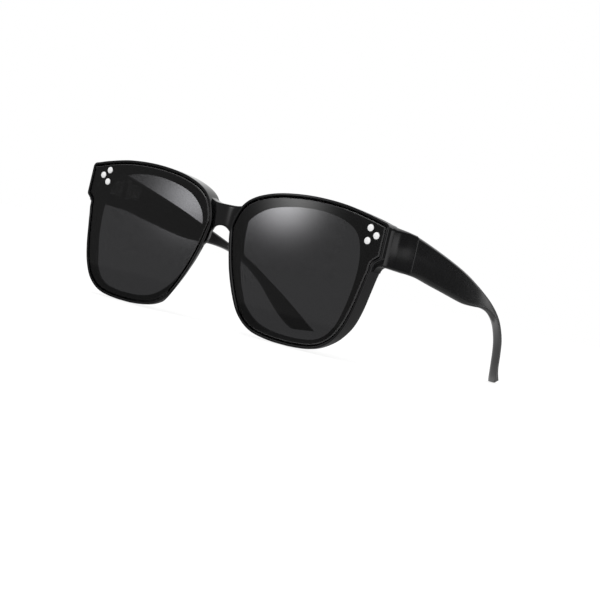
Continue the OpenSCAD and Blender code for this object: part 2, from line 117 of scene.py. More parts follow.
def curve(points: Sequence[Point], steps: int, closed: bool = False) -> list[Point]:
    """Draws a smooth curve through points.

    Args:
        points: What the curve passes through.
        steps: Stretches between one point and the next.
        closed: Whether it runs on from the last point to the first.

    Returns:
        The curve's points, with the last one of an open curve.
    """
    count, last = len(points), len(points) - 1
    drawn = []
    for i in range(count if closed else last):
        around = [i - 1, i, i + 1, i + 2]
        near = [points[k % count if closed else min(max(k, 0), last)] for k in around]
        drawn += [tuple(blend(*(p[k] for p in near), j / steps) for k in (0, 1)) for j in range(steps)]
    return drawn if closed else drawn + [tuple(points[last])]


def lookup(table: Sequence[Point], x: float) -> float:
    """Reads a table in straight stretches.

    Args:
        table: Pairs of x and value, in the order of x.
        x: Where to read.

    Returns:
        The value at x.
    """
    for (x0, v0), (x1, v1) in zip(table, table[1:]):
        if x <= x1:
            break
    return v0 + (v1 - v0) * (x - x0) / (x1 - x0)


def crossing(p: Vector, u: Vector, q: Vector, v: Vector) -> Vector:
    """Returns where the line through p along u meets the line through q along v."""
    return p + u * ((q - p).cross(v) / u.cross(v))


def corner(a: Vector, q: Vector, b: Vector, radius: float, steps: int) -> list[Vector]:
    """Rounds the corner q of the path a, q, b.

    Args:
        a: Point before the corner.
        q: The corner.
        b: Point after it.
        radius: Radius of the round.
        steps: Stretches along the round.

    Returns:
        Points along the round.
    """
    u, v = (a - q).normalized(), (b - q).normalized()
    half = math.acos(max(-1.0, min(1.0, u.dot(v)))) / 2
    centre = q + (u + v).normalized() * radius / math.sin(half)
    start, end = q + u * radius / math.tan(half) - centre, q + v * radius / math.tan(half) - centre
    turn = math.atan2(start.cross(end), start.dot(end))
    first = math.atan2(start.y, start.x)
    return [centre + radius * Vector((math.cos(first + turn * i / steps), math.sin(first + turn * i / steps)))
            for i in range(steps + 1)]


@dataclass(frozen=True)
class FrontShape:
    """Sizes and outlines of one half of the front, as the solids have them."""

    lens_w: float = 55.8
    lens_h: float = 48.8
    lens_gap: float = 19.4
    lens_t: float = 2.0
    ledge_t: float = 1.4
    front_r: float = 1400.0
    lip_w: float = 1.0
    rim_nose: float = 4.8
    rim_side: float = 9.7
    rim_top: float = 4.75
    rim_bottom: float = 3.55
    rim_depth: float = 7.5
    rim_side_depth: float = 6.9
    rim_low_depth: float = 3.7
    nose_thinner: float = 0.4
    ledge_relief: float = 0.5
    wall_clear: float = 0.02
    nose_lean: float = 29.0
    nose_dir: float = 20.0
    nose_r: float = 89.9
    trim_y: float = 4.1
    # The outer edge below the rim's top: where it starts, and the notch under the end piece
    brow_fall: float = 4.5
    notch_head: float = 17.65
    notch_foot: float = 20.15
    notch_in: float = 3.25
    brow_r: float = 2.0
    notch_head_r: float = 1.6
    notch_foot_r: float = 2.4
    least_r: float = 0.12
    stud_in: float = 7.9
    stud_fall: float = 9.2
    # Points that a curve is drawn with between two of its own
    rim_steps: int = 6
    view_steps: int = 24
    back_steps: int = 4
    corner_steps: int = 8

    # The clear view, as shares of half the lens's width and height
    VIEW = ((0.18, 1.0), (0.58, 0.943), (0.845, 0.80), (0.967, 0.533), (1.0, 0.164), (0.946, -0.328),
            (0.83, -0.717), (0.60, -0.94), (0.15, -1.0), (-0.304, -0.943), (-0.61, -0.738), (-0.83, -0.41),
            (-0.964, -0.02), (-1.0, 0.246), (-0.938, 0.574), (-0.685, 0.828), (-0.286, 0.959))
    # The rim from below the notch, round by the nose to the brow, as shares of its width and height
    RIM = ((0.953, 0.600), (0.943, 0.545), (0.929, 0.4545), (0.908, 0.332), (0.872, 0.202), (0.8125, 0.094),
           (0.713, 0.0240), (0.557, 0.0002), (0.4006, 0.0060), (0.280, 0.0377), (0.185, 0.118),
           (0.118, 0.237), (0.0676, 0.367), (0.0299, 0.507), (0.0021, 0.647), (0.0114, 0.743),
           (0.051, 0.843), (0.1236, 0.913), (0.244, 0.964), (0.386, 0.991), (0.543, 1.0),
           (0.713, 0.989), (0.869, 0.957), (0.955, 0.9325))
    # The rear edge from the side, as shares of the rise to the notch and of the growth in depth
    BACK = ((0, 0), (0.112, 0.084), (0.29, 0.145), (0.565, 0.222), (0.833, 0.314), (0.958, 0.411),
            (0.992, 0.541), (0.992, 0.892), (1.08, 1.0), (1.26, 1.135))
    # Its last points, as heights from the rim's top and distances back
    BACK_TOP = ((-12, 14.0), (20, 14.0))
    # Stretches of the brow's end, the outer side, the notch and the side below it
    EDGE_STEPS = (3, 11, 3, 3)
    # Place of the leaning cylinder's axis, as shares of its radius and of the rim's height
    NOSE_AXIS = (1.114, 1.0352)
    # Direction across the plane that trims the rear edge
    TRIM_WAY = (-0.0935, 0.9895, -0.1097)
    # Distance that the walls keep from the clear view
    VIEW_MARGIN = 0.2
    # The studs' places about their middle, and its shift out and up on the left, turned round on the right
    STUDS = ((-1.0, 2.45), (2.15, 0.0), (-1.1, -2.4))
    STUD_SHIFT = (1.3, -0.45)

    @property
    def x0(self) -> float:
        """Nose side of the rim."""
        return self.lens_gap / 2 - self.rim_nose

    @property
    def x1(self) -> float:
        """Outer side of the rim."""
        return self.x0 + self.rim_nose + self.lens_w + self.rim_side

    @property
    def z0(self) -> float:
        """Lowest point of the rim."""
        return -self.lens_h / 2 - self.rim_bottom

    @property
    def z1(self) -> float:
        """Highest point of the rim."""
        return self.lens_h / 2 + self.rim_top

    @property
    def notch_x(self) -> float:
        """Outer side of the rim below the notch."""
        return self.x1 - self.notch_in

    @property
    def middle(self) -> Vector:
        """Middle of the lens, seen from the front."""
        return Vector((self.lens_gap / 2 + self.lens_w / 2, 0.0))

    def front_y(self, x: float) -> float:
        """Returns the distance back of the front face at x."""
        return self.front_r - math.sqrt(self.front_r ** 2 - x * x)

    def outline(self, inset: float) -> list[Vector]:
        """Draws the rim's outline, always with the same number of points.

        Args:
            inset: Distance in from the rim's outer edge.

        Returns:
            The outline's points, as x and z.
        """
        width, height = self.x1 - self.x0, self.z1 - self.z0
        rim = [Vector((self.x0 + width * x, self.z0 + height * z))
               for x, z in curve(self.RIM, self.rim_steps)]
        moved = []
        for i, p in enumerate(rim):
            along = (rim[min(i + 1, len(rim) - 1)] - rim[max(i - 1, 0)]).normalized()
            p = p + inset * Vector((along.y, -along.x))
            moved.append(Vector((p.x, max(p.y, self.z0 + inset))))
        edge = ((self.x1, self.brow_fall), (self.x1, self.notch_head), (self.notch_x, self.notch_foot))
        path = [rim[-1], *(Vector((x, self.z1 - fall)) for x, fall in edge), rim[0]]
        ways = [(b - a).normalized() for a, b in zip(path, path[1:])]
        lines = [(a + inset * Vector((w.y, -w.x)), w) for a, w in zip(path, ways)]
        bends = [moved[-1]] + [crossing(*lines[i], *lines[i + 1]) for i in range(3)] + [moved[0]]
        radii = (max(self.brow_r - inset, self.least_r), max(self.notch_head_r - inset, self.least_r),
                 self.notch_foot_r + inset)
        for i, radius in enumerate(radii):
            bend = corner(bends[i], bends[i + 1], bends[i + 2], radius, self.corner_steps)
            start, count = moved[-1], self.EDGE_STEPS[i]
            moved += [start.lerp(bend[0], k / count) for k in range(1, count)] + bend
        start, end, count = moved[-1], moved[0], self.EDGE_STEPS[3]
        return moved + [start.lerp(end, k / count) for k in range(1, count)]

    @cached_property
    def view_polar(self) -> list[Point]:
        """Angle and distance from the lens's middle of each point of the clear view's outline."""
        points = [Vector((self.lens_w / 2 * x, self.lens_h / 2 * z))
                  for x, z in curve(self.VIEW, self.view_steps, closed=True)]
        polar = sorted((math.atan2(p.y, p.x), p.length) for p in points)
        return [(polar[-1][0] - math.tau, polar[-1][1])] + polar + [(polar[0][0] + math.tau, polar[0][1])]

    @cached_property
    def back_edge(self) -> list[Point]:
        """The rear edge seen from the side, as heights and distances back."""
        side = self.rim_side_depth + self.front_y(self.notch_x)
        low = self.rim_low_depth + self.front_y((self.x0 + self.x1) / 2)
        rise = self.z1 - self.notch_foot - self.z0
        edge = [(self.z0 + rise * z, low + (side - low) * y) for y, z in self.BACK]
        return curve(edge, self.back_steps) + [(self.z1 + z, y) for z, y in self.BACK_TOP]

    def view_radius(self, out: Vector) -> float:
        """Returns the clear view's distance from the lens's middle, in the direction of out."""
        return lookup(self.view_polar, math.atan2(out.y, out.x))

    def inside_nose(self, p: Vector, y: float, inset: float) -> Vector:
        """Moves a point towards the lens's middle until it is inside the leaning cylinder of the nose side.

        Args:
            p: The point, as x and z.
            y: Its distance back.
            inset: Distance to keep inside the cylinder.

        Returns:
            The point, moved where it lay outside.
        """
        lean, turn = math.radians(self.nose_lean), math.radians(self.nose_dir)
        axis = Vector((math.sin(lean) * math.cos(turn), math.cos(lean), math.sin(lean) * math.sin(turn)))
        from_axis = Vector((p.x - self.x0 - self.NOSE_AXIS[0] * self.nose_r, y,
                            p.y - self.z0 - self.NOSE_AXIS[1] * (self.z1 - self.z0)))
        across = from_axis - from_axis.dot(axis) * axis
        radius = self.nose_r - inset
        if across.length <= radius:
            return p
        flat = (self.middle - p).normalized()
        way = Vector((flat.x, 0.0, flat.y))
        way -= way.dot(axis) * axis
        a, b, c = way.dot(way), across.dot(way), across.dot(across) - radius * radius
        return p + flat * ((-b - math.sqrt(max(b * b - a * c, 0.0))) / a)

    def back_y(self, x: float, z: float) -> float:
        """Returns the distance back of the rim's rear edge."""
        trim = self.trim_y - (self.TRIM_WAY[0] * x + self.TRIM_WAY[2] * z) / self.TRIM_WAY[1]
        return min(self.rim_depth + self.front_y(x), lookup(self.back_edge, z), trim)

    def clear_of_view(self, p: Vector, margin: float, relief: float = 0.0) -> Vector:
        """Moves a point out of the clear view, if it lies in it.

        Args:
            p: The point, as x and z.
            margin: Distance to keep from the view.
            relief: Further distance on the nose side.

        Returns:
            The point, moved where it lay too near.
        """
        out = p - self.middle
        least = self.view_radius(out) + margin + relief * max(0.0, -out.normalized().x)
        return self.middle + out.normalized() * least if out.length < least else p

    def loop(self, inset: float, depth: float, inner: bool = False) -> Loop:
        """Draws the rim's outline at a depth.

        Args:
            inset: Distance in from the outer outline.
            depth: Depth behind the curved front.
            inner: Whether the loop lies on the inside of the wall.

        Returns:
            The loop's points.
        """
        points = []
        for p in self.outline(inset):
            q = self.inside_nose(p, self.front_y(p.x) + depth, inset - inner * self.nose_thinner)
            q = self.clear_of_view(q, self.VIEW_MARGIN, self.ledge_relief) if inner else q
            points.append(Vector((q.x, self.front_y(q.x) + depth, q.y)))
        return points

    def wall_loop(self, inset: float, share: float, short: float = 0.0, inner: bool = False,
                  margin: float = VIEW_MARGIN) -> Loop:
        """Draws the rim's outline at a share of the way to its rear edge.

        Args:
            inset: Distance in from the outer outline.
            share: 0 at the front face, 1 at the rear edge.
            short: Distance that the loop stops short of the rear edge.
            inner: Whether the loop lies on the inside of the wall.
            margin: Distance that the rear lip keeps from the clear view.

        Returns:
            The loop's points.
        """
        points = []
        for p in self.outline(inset):
            y = self.front_y(p.x) * (1 - share) + (self.back_y(p.x, p.y) - short) * share
            q = self.inside_nose(p, y, inset - inner * self.nose_thinner)
            y = self.front_y(q.x) * (1 - share) + (self.back_y(q.x, q.y) - short) * share
            if inner or share == 1:
                q = self.clear_of_view(q, margin)
            if inner:
                y = max(y, self.front_y(q.x) + self.lens_t + self.ledge_t + self.wall_clear)
            points.append(Vector((q.x, y, q.y)))
        return points

    def view_loop(self, outset: float, depth: float, relief: float = 0.0) -> Loop:
        """Draws the clear view's outline, with a point at the angle of each point of the rim's outline.

        Args:
            outset: Distance out from the clear view.
            depth: Depth behind the curved front.
            relief: Further distance out on the nose side.

        Returns:
            The loop's points.
        """
        points = []
        for p in self.outline(self.lip_w):
            out = p - self.middle
            way = out.normalized()
            q = self.middle + way * (self.view_radius(out) + outset)
            q.x -= relief * max(0.0, -way.x)
            points.append(Vector((q.x, self.front_y(q.x) + depth, q.y)))
        return points

    def stud_places(self, side: Side) -> list[Vector]:
        """Finds the places of one side's studs on the lens's face.

        Args:
            side: The wearer's side.

        Returns:
            Their x from the nose, y and z.
        """
        places = []
        for dx, dz in self.STUDS:
            x = self.x1 - self.stud_in + dx + self.STUD_SHIFT[0] * side.value
            z = self.z1 - self.stud_fall + dz + self.STUD_SHIFT[1] * side.value
            places.append(Vector((x * side.value, self.front_y(x), z)))
        return places


# Modelling by operators


def deselect() -> None:
    """Leaves nothing selected, so that an operator acts only on what is picked next."""
    if bpy.context.object and bpy.context.object.mode != "OBJECT":
        bpy.ops.object.mode_set(mode="OBJECT")
    bpy.ops.object.select_all(action="DESELECT")


def pick(*pieces: Object) -> None:
    """Selects pieces and makes the first one active.

    Args:
        pieces: What to select.
    """
    deselect()
    for piece in pieces:
        piece.select_set(True)
    bpy.context.view_layer.objects.active = pieces[0]


@contextmanager
def editing(piece: Object) -> Iterator[None]:
    """Opens a piece in edit mode with all of it selected, and closes it again.

    Args:
        piece: What the operators in the block work on.
    """
    pick(piece)
    bpy.ops.object.mode_set(mode="EDIT")
    bpy.ops.mesh.select_all(action="SELECT")
    yield
    bpy.ops.object.mode_set(mode="OBJECT")


class LoopModel:
    """A piece that grows from a circle, loop by loop, by extrusion in edit mode."""

    def __init__(self, name: str, points: Loop) -> None:
        """Adds a circle and lays its points along the first loop.

        Args:
            name: The piece's name.
            points: The first loop.
        """
        deselect()
        bpy.ops.mesh.primitive_circle_add(vertices=len(points), radius=MM, fill_type="NOTHING",
                                          location=(0, 0, 0))
        self.piece = bpy.context.object
        self.piece.name = name
        bpy.ops.object.mode_set(mode="EDIT")
        self.ring = list(range(len(points)))
        self.first = list(self.ring)
        self._lay(points)

    def _mesh(self) -> bmesh.types.BMesh:
        """Opens the mesh being edited.

        Returns:
            The mesh, ready for picking by number.
        """
        mesh = bmesh.from_edit_mesh(self.piece.data)
        mesh.verts.ensure_lookup_table()
        mesh.verts.index_update()
        return mesh

    def _lay(self, points: Loop) -> None:
        """Lays the present ring's points where they belong.

        Args:
            points: The places, in the ring's order.
        """
        mesh = self._mesh()
        for number, p in zip(self.ring, points):
            mesh.verts[number].co = placed(*p)
        bmesh.update_edit_mesh(self.piece.data)

    def _select(self, ring: Iterable[int]) -> None:
        """Selects only one ring.

        Args:
            ring: Numbers of its points.
        """
        bpy.ops.mesh.select_all(action="DESELECT")
        bpy.ops.mesh.select_mode(type="VERT")
        mesh = self._mesh()
        for number in ring:
            mesh.verts[number].select = True
        mesh.select_flush_mode()
        mesh.select_flush(True)
        bmesh.update_edit_mesh(self.piece.data)

    def grow(self, *loops: Loop) -> "LoopModel":
        """Extrudes the present ring onto each loop in turn.

        Args:
            loops: The places of the new rings' points.

        Returns:
            The model itself.
        """
        for points in loops:
            self._select(self.ring)
            bpy.ops.mesh.extrude_region_move()
            mesh = self._mesh()
            ring = []
            for number in self.ring:
                vert = mesh.verts[number]
                ring.append(next(e.other_vert(vert).index for e in vert.link_edges
                                 if e.other_vert(vert).select))
            self.ring = ring
            self._lay(points)
        return self

    def capped(self) -> "LoopModel":
        """Closes the first loop and the last one with a face each.

        Returns:
            The model itself.
        """
        for ring in (self.first, self.ring):
            self._select(ring)
            bpy.ops.mesh.edge_face_add()
        return self

    def done(self) -> Object:
        """Merges doubles and turns the faces outwards.

        Returns:
            The piece.
        """
        bpy.ops.mesh.select_all(action="SELECT")
        bpy.ops.mesh.remove_doubles(threshold=1e-7)
        bpy.ops.mesh.normals_make_consistent(inside=False)
        bpy.ops.object.mode_set(mode="OBJECT")
        return self.piece


def mirrored(piece: Object) -> Object:
    """Copies a piece to the other side of the nose.

    Args:
        piece: What to copy.

    Returns:
        The copy.
    """
    pick(piece)
    bpy.ops.object.duplicate()
    copy = bpy.context.object
    with editing(copy):
        bpy.ops.transform.resize(value=(-1, 1, 1), center_override=(0, 0, 0))
        bpy.ops.mesh.normals_make_consistent(inside=False)
    return copy


def on_side(side: Side, piece: Object) -> Object:
    """Puts a piece that was made on the wearer's left on its own side.

    Args:
        side: Where the piece belongs.
        piece: The left piece, which is dropped when the other side's takes its place.

    Returns:
        The piece on its side.
    """
    if side is Side.LEFT:
        return piece
    copy = mirrored(piece)
    bpy.data.objects.remove(piece)
    return copy


def joined(name: str, *pieces: Object) -> Object:
    """Joins pieces into one object.

    Args:
        name: The object's name.
        pieces: What to join.

    Returns:
        The object.
    """
    pick(*pieces)
    bpy.ops.object.join()
    pieces[0].name = name
    return pieces[0]


def modified(piece: Object, kind: str, **settings: object) -> Object:
    """Applies a modifier to a piece.

    Args:
        piece: What to change.
        kind: Blender's name of the modifier.
        settings: The modifier's properties.

    Returns:
        The piece.
    """
    pick(piece)
    bpy.ops.object.modifier_add(type=kind)
    change = piece.modifiers[-1]
    for name, value in settings.items():
        setattr(change, name, value)
    bpy.ops.object.modifier_apply(modifier=change.name)
    return piece


def combined(piece: Object, tool: Object, change: Change) -> Object:
    """Adds a tool to a piece, or cuts it out, and drops the tool.

    Args:
        piece: What to change.
        tool: A closed piece.
        change: What the tool does.

    Returns:
        The piece.
    """
    modified(piece, "BOOLEAN", operation=change.value, object=tool, solver="EXACT")
    bpy.data.objects.remove(tool)
    return piece


def smooth(piece: Object, degrees: float) -> Object:
    """Shades a piece smooth, except over sharp edges.

    Args:
        piece: What to shade.
        degrees: The angle over which an edge is sharp.

    Returns:
        The piece.
    """
    pick(piece)
    bpy.ops.object.shade_smooth_by_angle(angle=math.radians(degrees))
    return piece


def block(low: Spot, high: Spot) -> Object:
    """Adds a box, as a cutting tool.

    Args:
        low: Its corner with the least x, y and z.
        high: The opposite corner.

    Returns:
        The box.
    """
    deselect()
    a, b = placed(*low), placed(*high)
    bpy.ops.mesh.primitive_cube_add(size=1, location=(0, 0, 0))
    tool = bpy.context.object
    with editing(tool):
        bpy.ops.transform.resize(value=tuple(b - a), center_override=(0, 0, 0))
        bpy.ops.transform.translate(value=tuple((a + b) / 2))
    return tool


def dress(piece: Object, finish: Material, body: str, slot: str, *nodes: str) -> None:
    """Gives a piece its finish, its body and the solids that it stands for.

    Args:
        piece: The piece.
        finish: Its material.
        body: The body that it rides on.
        slot: Not used.
        nodes: The solids that it replaces.
    """
    piece.data.materials.append(finish)
    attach(piece, body)
    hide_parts(*nodes)
    LOG.info("%s: %d faces, rides on %s", piece.name, len(piece.data.polygons), body)


# Finishes


def add_node(tree: NodeTree, kind: str, inputs: dict | None = None, **settings: object) -> Node:
    """Adds a shader node to a tree.

    Args:
        tree: The material's or world's node tree.
        kind: Blender's name of the node, without its "ShaderNode".
        inputs: Socket names or numbers, each with a value or with an output socket to link from.
        settings: Properties to set on the node.

    Returns:
        The new node.
    """
    node = tree.nodes.new("ShaderNode" + kind)
    for name, value in settings.items():
        setattr(node, name, value)
    for key, value in (inputs or {}).items():
        if isinstance(value, NodeSocket):
            tree.links.new(value, node.inputs[key])
        else:
            node.inputs[key].default_value = value
    return node


def painted(name: str, shader: Callable[[NodeTree], Node]) -> Material:
    """Makes a material.

    Args:
        name: The material's name.
        shader: Adds the material's nodes to a tree and returns the one to show.

    Returns:
        The material.
    """
    material = bpy.data.materials.new(name)
    material.use_nodes = True
    tree = material.node_tree
    tree.nodes.clear()
    tree.links.new(shader(tree).outputs[0], add_node(tree, "OutputMaterial").inputs["Surface"])
    return material


def noise(tree: NodeTree, size: float, detail: float = 2.0) -> NodeSocket:
    """Adds a noise pattern that is fixed to the piece.

    Args:
        tree: The material's node tree.
        size: About the size of its blotches in millimetres.
        detail: Levels of finer blotches on them.

    Returns:
        The pattern, 0 to 1.
    """
    place = add_node(tree, "TexCoord").outputs["Object"]
    pattern = {"Vector": place, "Scale": 1 / (size * MM), "Detail": detail}
    return add_node(tree, "TexNoise", pattern).outputs[0]


def ramp(tree: NodeTree, value: NodeSocket, ends: Point, start: float = 0.3, stop: float = 0.7) -> NodeSocket:
    """Spreads a pattern's range from start to stop between two values."""
    return add_node(tree, "MapRange", {"Value": value, "From Min": start, "From Max": stop,
                                       "To Min": ends[0], "To Max": ends[1]}).outputs["Result"]


def bump(tree: NodeTree, height: NodeSocket, strength: float, depth: float = 0.02) -> NodeSocket:
    """Adds a fine relief, with its full depth in millimetres."""
    return add_node(tree, "Bump", {"Strength": strength, "Distance": depth * MM, "Height": height}).outputs[0]


@dataclass(frozen=True)
class Finish:
    """A real surface: its name, its colour in hex sRGB, and its least and greatest roughness."""

    name: str
    colour: str
    roughness: Point

    def shader(self, tree: NodeTree) -> Node:
        """Adds the finish's nodes to a tree and returns its shader."""
        raise NotImplementedError

    def build(self) -> Material:
        """Returns the material."""
        return painted(self.name, self.shader)


@dataclass(frozen=True)
class PolishedPlastic(Finish):
    """Injection-moulded frame plastic, polished to a gloss, with faint flow marks, haze and orange peel."""

    flow_colour: str
    specular: float = 0.5
    flow: float = 14.0
    haze: float = 5.0
    grain: float = 0.35
    peel: float = 0.02

    def shader(self, tree: NodeTree) -> Node:
        """Adds the plastic's nodes to a tree and returns its shader."""
        colour = add_node(tree, "Mix", {"Factor": noise(tree, self.flow), 6: linear(self.colour),
                                        7: linear(self.flow_colour)}, data_type="RGBA")
        return add_node(tree, "BsdfPrincipled", {
            "Base Color": colour.outputs[2], "Specular IOR Level": self.specular,
            "Roughness": ramp(tree, noise(tree, self.haze, detail=4.0), self.roughness),
            "Normal": bump(tree, noise(tree, self.grain, detail=1.0), self.peel)})


@dataclass(frozen=True)
class TintedPanel(Finish):
    """Neutral grey polarised sheet: clear through, darkened in the mass, with a hard polished face."""

    specular: float = 0.5
    smear: float = 9.0
    index: float = 1.49

    def shader(self, tree: NodeTree) -> Node:
        """Adds the sheet's nodes to a tree and returns its shader."""
        smears = noise(tree, self.smear, detail=3.0)
        return add_node(tree, "BsdfPrincipled", {
            "Base Color": linear(self.colour), "IOR": self.index, "Transmission Weight": 1.0,
            "Specular IOR Level": self.specular,
            "Roughness": ramp(tree, smears, self.roughness, start=0.35, stop=0.75)})


@dataclass(frozen=True)
class BrightMetal(Finish):
    """Stamped or turned metal, with fine marks of a size in millimetres; on the studs its white colour is a
    painted reflection.
    """

    mark: float
    metallic: float = 1.0
    depth: float = 0.08

    def shader(self, tree: NodeTree) -> Node:
        """Adds the metal's nodes to a tree and returns its shader."""
        marks = noise(tree, self.mark, detail=3.0)
        return add_node(tree, "BsdfPrincipled", {
            "Base Color": linear(self.colour), "Metallic": self.metallic,
            "Roughness": ramp(tree, marks, self.roughness), "Normal": bump(tree, marks, self.depth)})


# The object's pieces


@dataclass(frozen=True)
class FrontFrame:
    """The front's one black moulding: two rings, the bridge and the end pieces."""

    shape: FrontShape
    wall_in: float = 1.8
    relief_start: float = 0.62
    draft: float = 0.3
    bridge_recess: float = 1.0
    bridge_t: float = 5.0
    bridge_top: float = 19.3
    bridge_crown: float = 0.9
    bridge_root: float = 0.5
    bridge_steps: int = 26
    halvings: int = 30
    arch_z: float = 10.5
    arch_r: float = 5.3
    arch_flare: float = 0.58
    arch_share: float = 0.86
    arch_clear: float = 0.02
    foot_run: float = 4.0
    joint_y: float = 21.6
    end_t: float = 4.4
    end_swell: float = 1.2
    end_root: float = 0.1
    end_low: float = 9.0
    end_top_fall: float = 4.2
    end_low_fall: float = 2.0
    end_round: float = 2.0
    end_round_least: float = 0.7
    end_inner_round: float = 0.5
    end_steps: int = 4
    end_curve_steps: int = 5
    # Where the upper corner's round starts to shrink, and over what distance
    shrink_start: float = 4.0
    shrink_run: float = 7.0
    fillet_r: float = 2.6
    fillet_in: float = 1.6
    fillet_over: float = 0.5
    fillet_front: float = 2.1
    fillet_short: float = 0.25
    fillet_rear_z: float = 5.0
    stud_hole_r: float = 0.5
    stud_hole_depth: float = 5.0
    sharp: float = 32.0

    # The ring's loops. Insets and depths of the lip, then of its foot from the lens's seat
    LIP = ((0.0, 0.32), (0.03, 0.13), (0.12, 0.03), (0.3, 0.0), (0.76, 0.0), (0.93, 0.04), (1.0, 0.18),
           (1.0, 0.6))
    LIP_FOOT = ((1.0, -0.03), (1.05, 0.0))
    # Distances out from the clear view, with depths from the ledge's front, then from its rear
    LEDGE_FRONT = ((0.6, 0.0), (0.15, 0.0), (0.03, 0.04), (0.0, 0.18), (0.0, 0.56))
    LEDGE_REAR = ((0.0, -0.16), (0.04, -0.03), (0.14, 0.0))
    # Insets and distances short of the rear edge: the wall's inside, then its edge with margins from the
    # view, and the shares of the way back of the loops on its outside
    WALL_INSIDE = ((1.62, 0.5), (1.56, 0.14), (1.36, 0.0))
    WALL_EDGE = ((0.6, 0.0, 0.3), (0.42, 0.1, 0.4), (0.34, 0.4, 0.48))
    WALL_SHARES = (0.75, 0.5, 0.28)

    # The bridge's top edge from its middle, then its section: shares of the way up, with depths behind the
    # front face, before the rear one, and behind the front face again
    BRIDGE_EDGE = ((0, 0), (3.5, 0.05), (6.2, 0.35), (9, 1.3), (12, 2.8))
    BRIDGE_FRONT = ((0.06, 0), (0.125, 0), (0.25, 0), (0.375, 0), (0.5, 0), (0.625, 0), (0.75, 0), (0.875, 0),
                    (0.95, 0), (0.985, 0.1), (1.0, 0.45))
    BRIDGE_REAR = ((1.0, 0.6), (0.985, 0.1), (0.94, 0), (0.75, 0), (0.5, 0), (0.25, 0), (0.06, 0),
                   (0.015, 0.1), (0.0, 0.5))
    BRIDGE_FOOT = ((0.0, 0.5), (0.018, 0.12))
    # Where the top edge's end is looked for, as distances from the nose's middle
    END_RANGE = (3.0, 12.0)

    # The end piece's outer side, as shares of its run and swell, and its inner side, as distances back and in
    END_OUTER = ((0.25, 0.5), (0.57, 0.88))
    END_INNER = ((0, 2.6), (3.7, 2.6), (5, 0.7), (7.2, 0))
    # Distances of its sections: the first behind the lens's rear face with its edge break, the next behind
    # that face and behind the nose's front, and the last before the joint with their edge breaks
    END_START = (0.2, 0.05)
    END_NEAR = (1.5, 2.7, 3.7, 4.3, 5, 6, 7.2)
    END_FAR = (12.6, 14, 15.5, 17, 18.5, 20, 21)
    END_EDGE = ((0.25, 0.0), (0.07, 0.07), (0.0, 0.24))

    def ring(self) -> Object:
        """Builds one eye's ring: the lip, the seat and ledge of the lens, the clear view and the walls.

        Returns:
            The ring on the wearer's left.
        """
        s = self.shape
        seat, rear, relief = s.lens_t, s.lens_t + s.ledge_t, s.ledge_relief
        loops = [s.loop(inset, depth) for inset, depth in self.LIP]
        loops += [s.loop(inset, seat + depth) for inset, depth in self.LIP_FOOT]
        loops += [s.view_loop(out, seat + depth) for out, depth in self.LEDGE_FRONT]
        loops += [s.view_loop(0.0, seat + self.relief_start, relief)]
        loops += [s.view_loop(out, rear + depth, relief) for out, depth in self.LEDGE_REAR]
        loops += [s.loop(self.wall_in, rear, inner=True)]
        loops += [s.wall_loop(inset, 1.0, short, inner=True) for inset, short in self.WALL_INSIDE]
        loops += [s.wall_loop(inset, 1.0, short, margin=margin) for inset, short, margin in self.WALL_EDGE]
        loops += [s.wall_loop(self.draft * share, share) for share in self.WALL_SHARES]
        return LoopModel("ring", loops[0]).grow(*loops[1:], loops[0]).done()

    def _nose_edge(self, depth: float) -> Edge:
        """Follows the inside of a ring's nose wall at a depth.

        Args:
            depth: Depth behind the curved front.

        Returns:
            A function that gives the wall's place at a height.
        """
        edge = [(p.x, p.z) for p in self.shape.loop(self.bridge_root, depth)]

        def at(z: float) -> float:
            """Returns the nearest crossing to the nose."""
            return min(x0 + (x1 - x0) * (z - z0) / (z1 - z0) for (x0, z0), (x1, z1) in zip(edge, edge[1:])
                       if min(z0, z1) <= z <= max(z0, z1) and z0 != z1)
        return at

    def bridge(self) -> Object:
        """Builds the bridge as upright sections from one ring to the other, over the arch.

        Returns:
            The bridge.
        """
        top_edge = curve(self.BRIDGE_EDGE, self.shape.rim_steps)
        low_z = self.arch_z - self.arch_r
        edges: dict[float, tuple[Edge, float, float]] = {}

        def top(x: float) -> float:
            """Returns the height of the bridge's top edge."""
            return self.bridge_top + lookup(top_edge, abs(x))

        def ends(depth: float) -> tuple[Edge, float, float]:
            """Finds where the bridge meets the nose wall.

            Args:
                depth: Depth behind the curved front.

            Returns:
                The wall at the depth, and where the top edge and the foot run into it.
            """
            if depth not in edges:
                at = self._nose_edge(depth)
                near, far = self.END_RANGE
                for _ in range(self.halvings):
                    x = (near + far) / 2
                    near, far = (x, far) if at(top(x)) > x else (near, x)
                edges[depth] = (at, near, at(low_z - self.foot_run))
            return edges[depth]

        def point(u: float, v: float, depth: float) -> Vector:
            """Finds a point of the bridge.

            Args:
                u: Its place from side to side, -1 to 1.
                v: Its share of the way from the foot to the top.
                depth: Depth behind the curved front.

            Returns:
                The point.
            """
            at, top_x, foot_x = ends(depth)
            size, sign = abs(u), math.copysign(1.0, u)
            flare = self.arch_flare * (depth - self.bridge_recess)
            radius = min(self.arch_r + flare, foot_x - self.arch_clear)
            angle = math.radians(90 * min(size / self.arch_share, 1.0))
            past = max(size - self.arch_share, 0.0) / (1 - self.arch_share)
            low = Vector((radius * math.sin(angle) + past * past * (foot_x - radius),
                          low_z + radius * math.cos(angle) - past * self.foot_run))
            high = Vector((top_x * size, top(top_x * size)))
            spot = low.lerp(high, v)
            chord = Vector((foot_x, low_z - self.foot_run)).lerp(Vector((top_x, top(top_x))), v)
            spot.x += (at(chord.y) - chord.x) * size ** 3
            return Vector((spot.x * sign, self.shape.front_y(spot.x) + depth, spot.y))

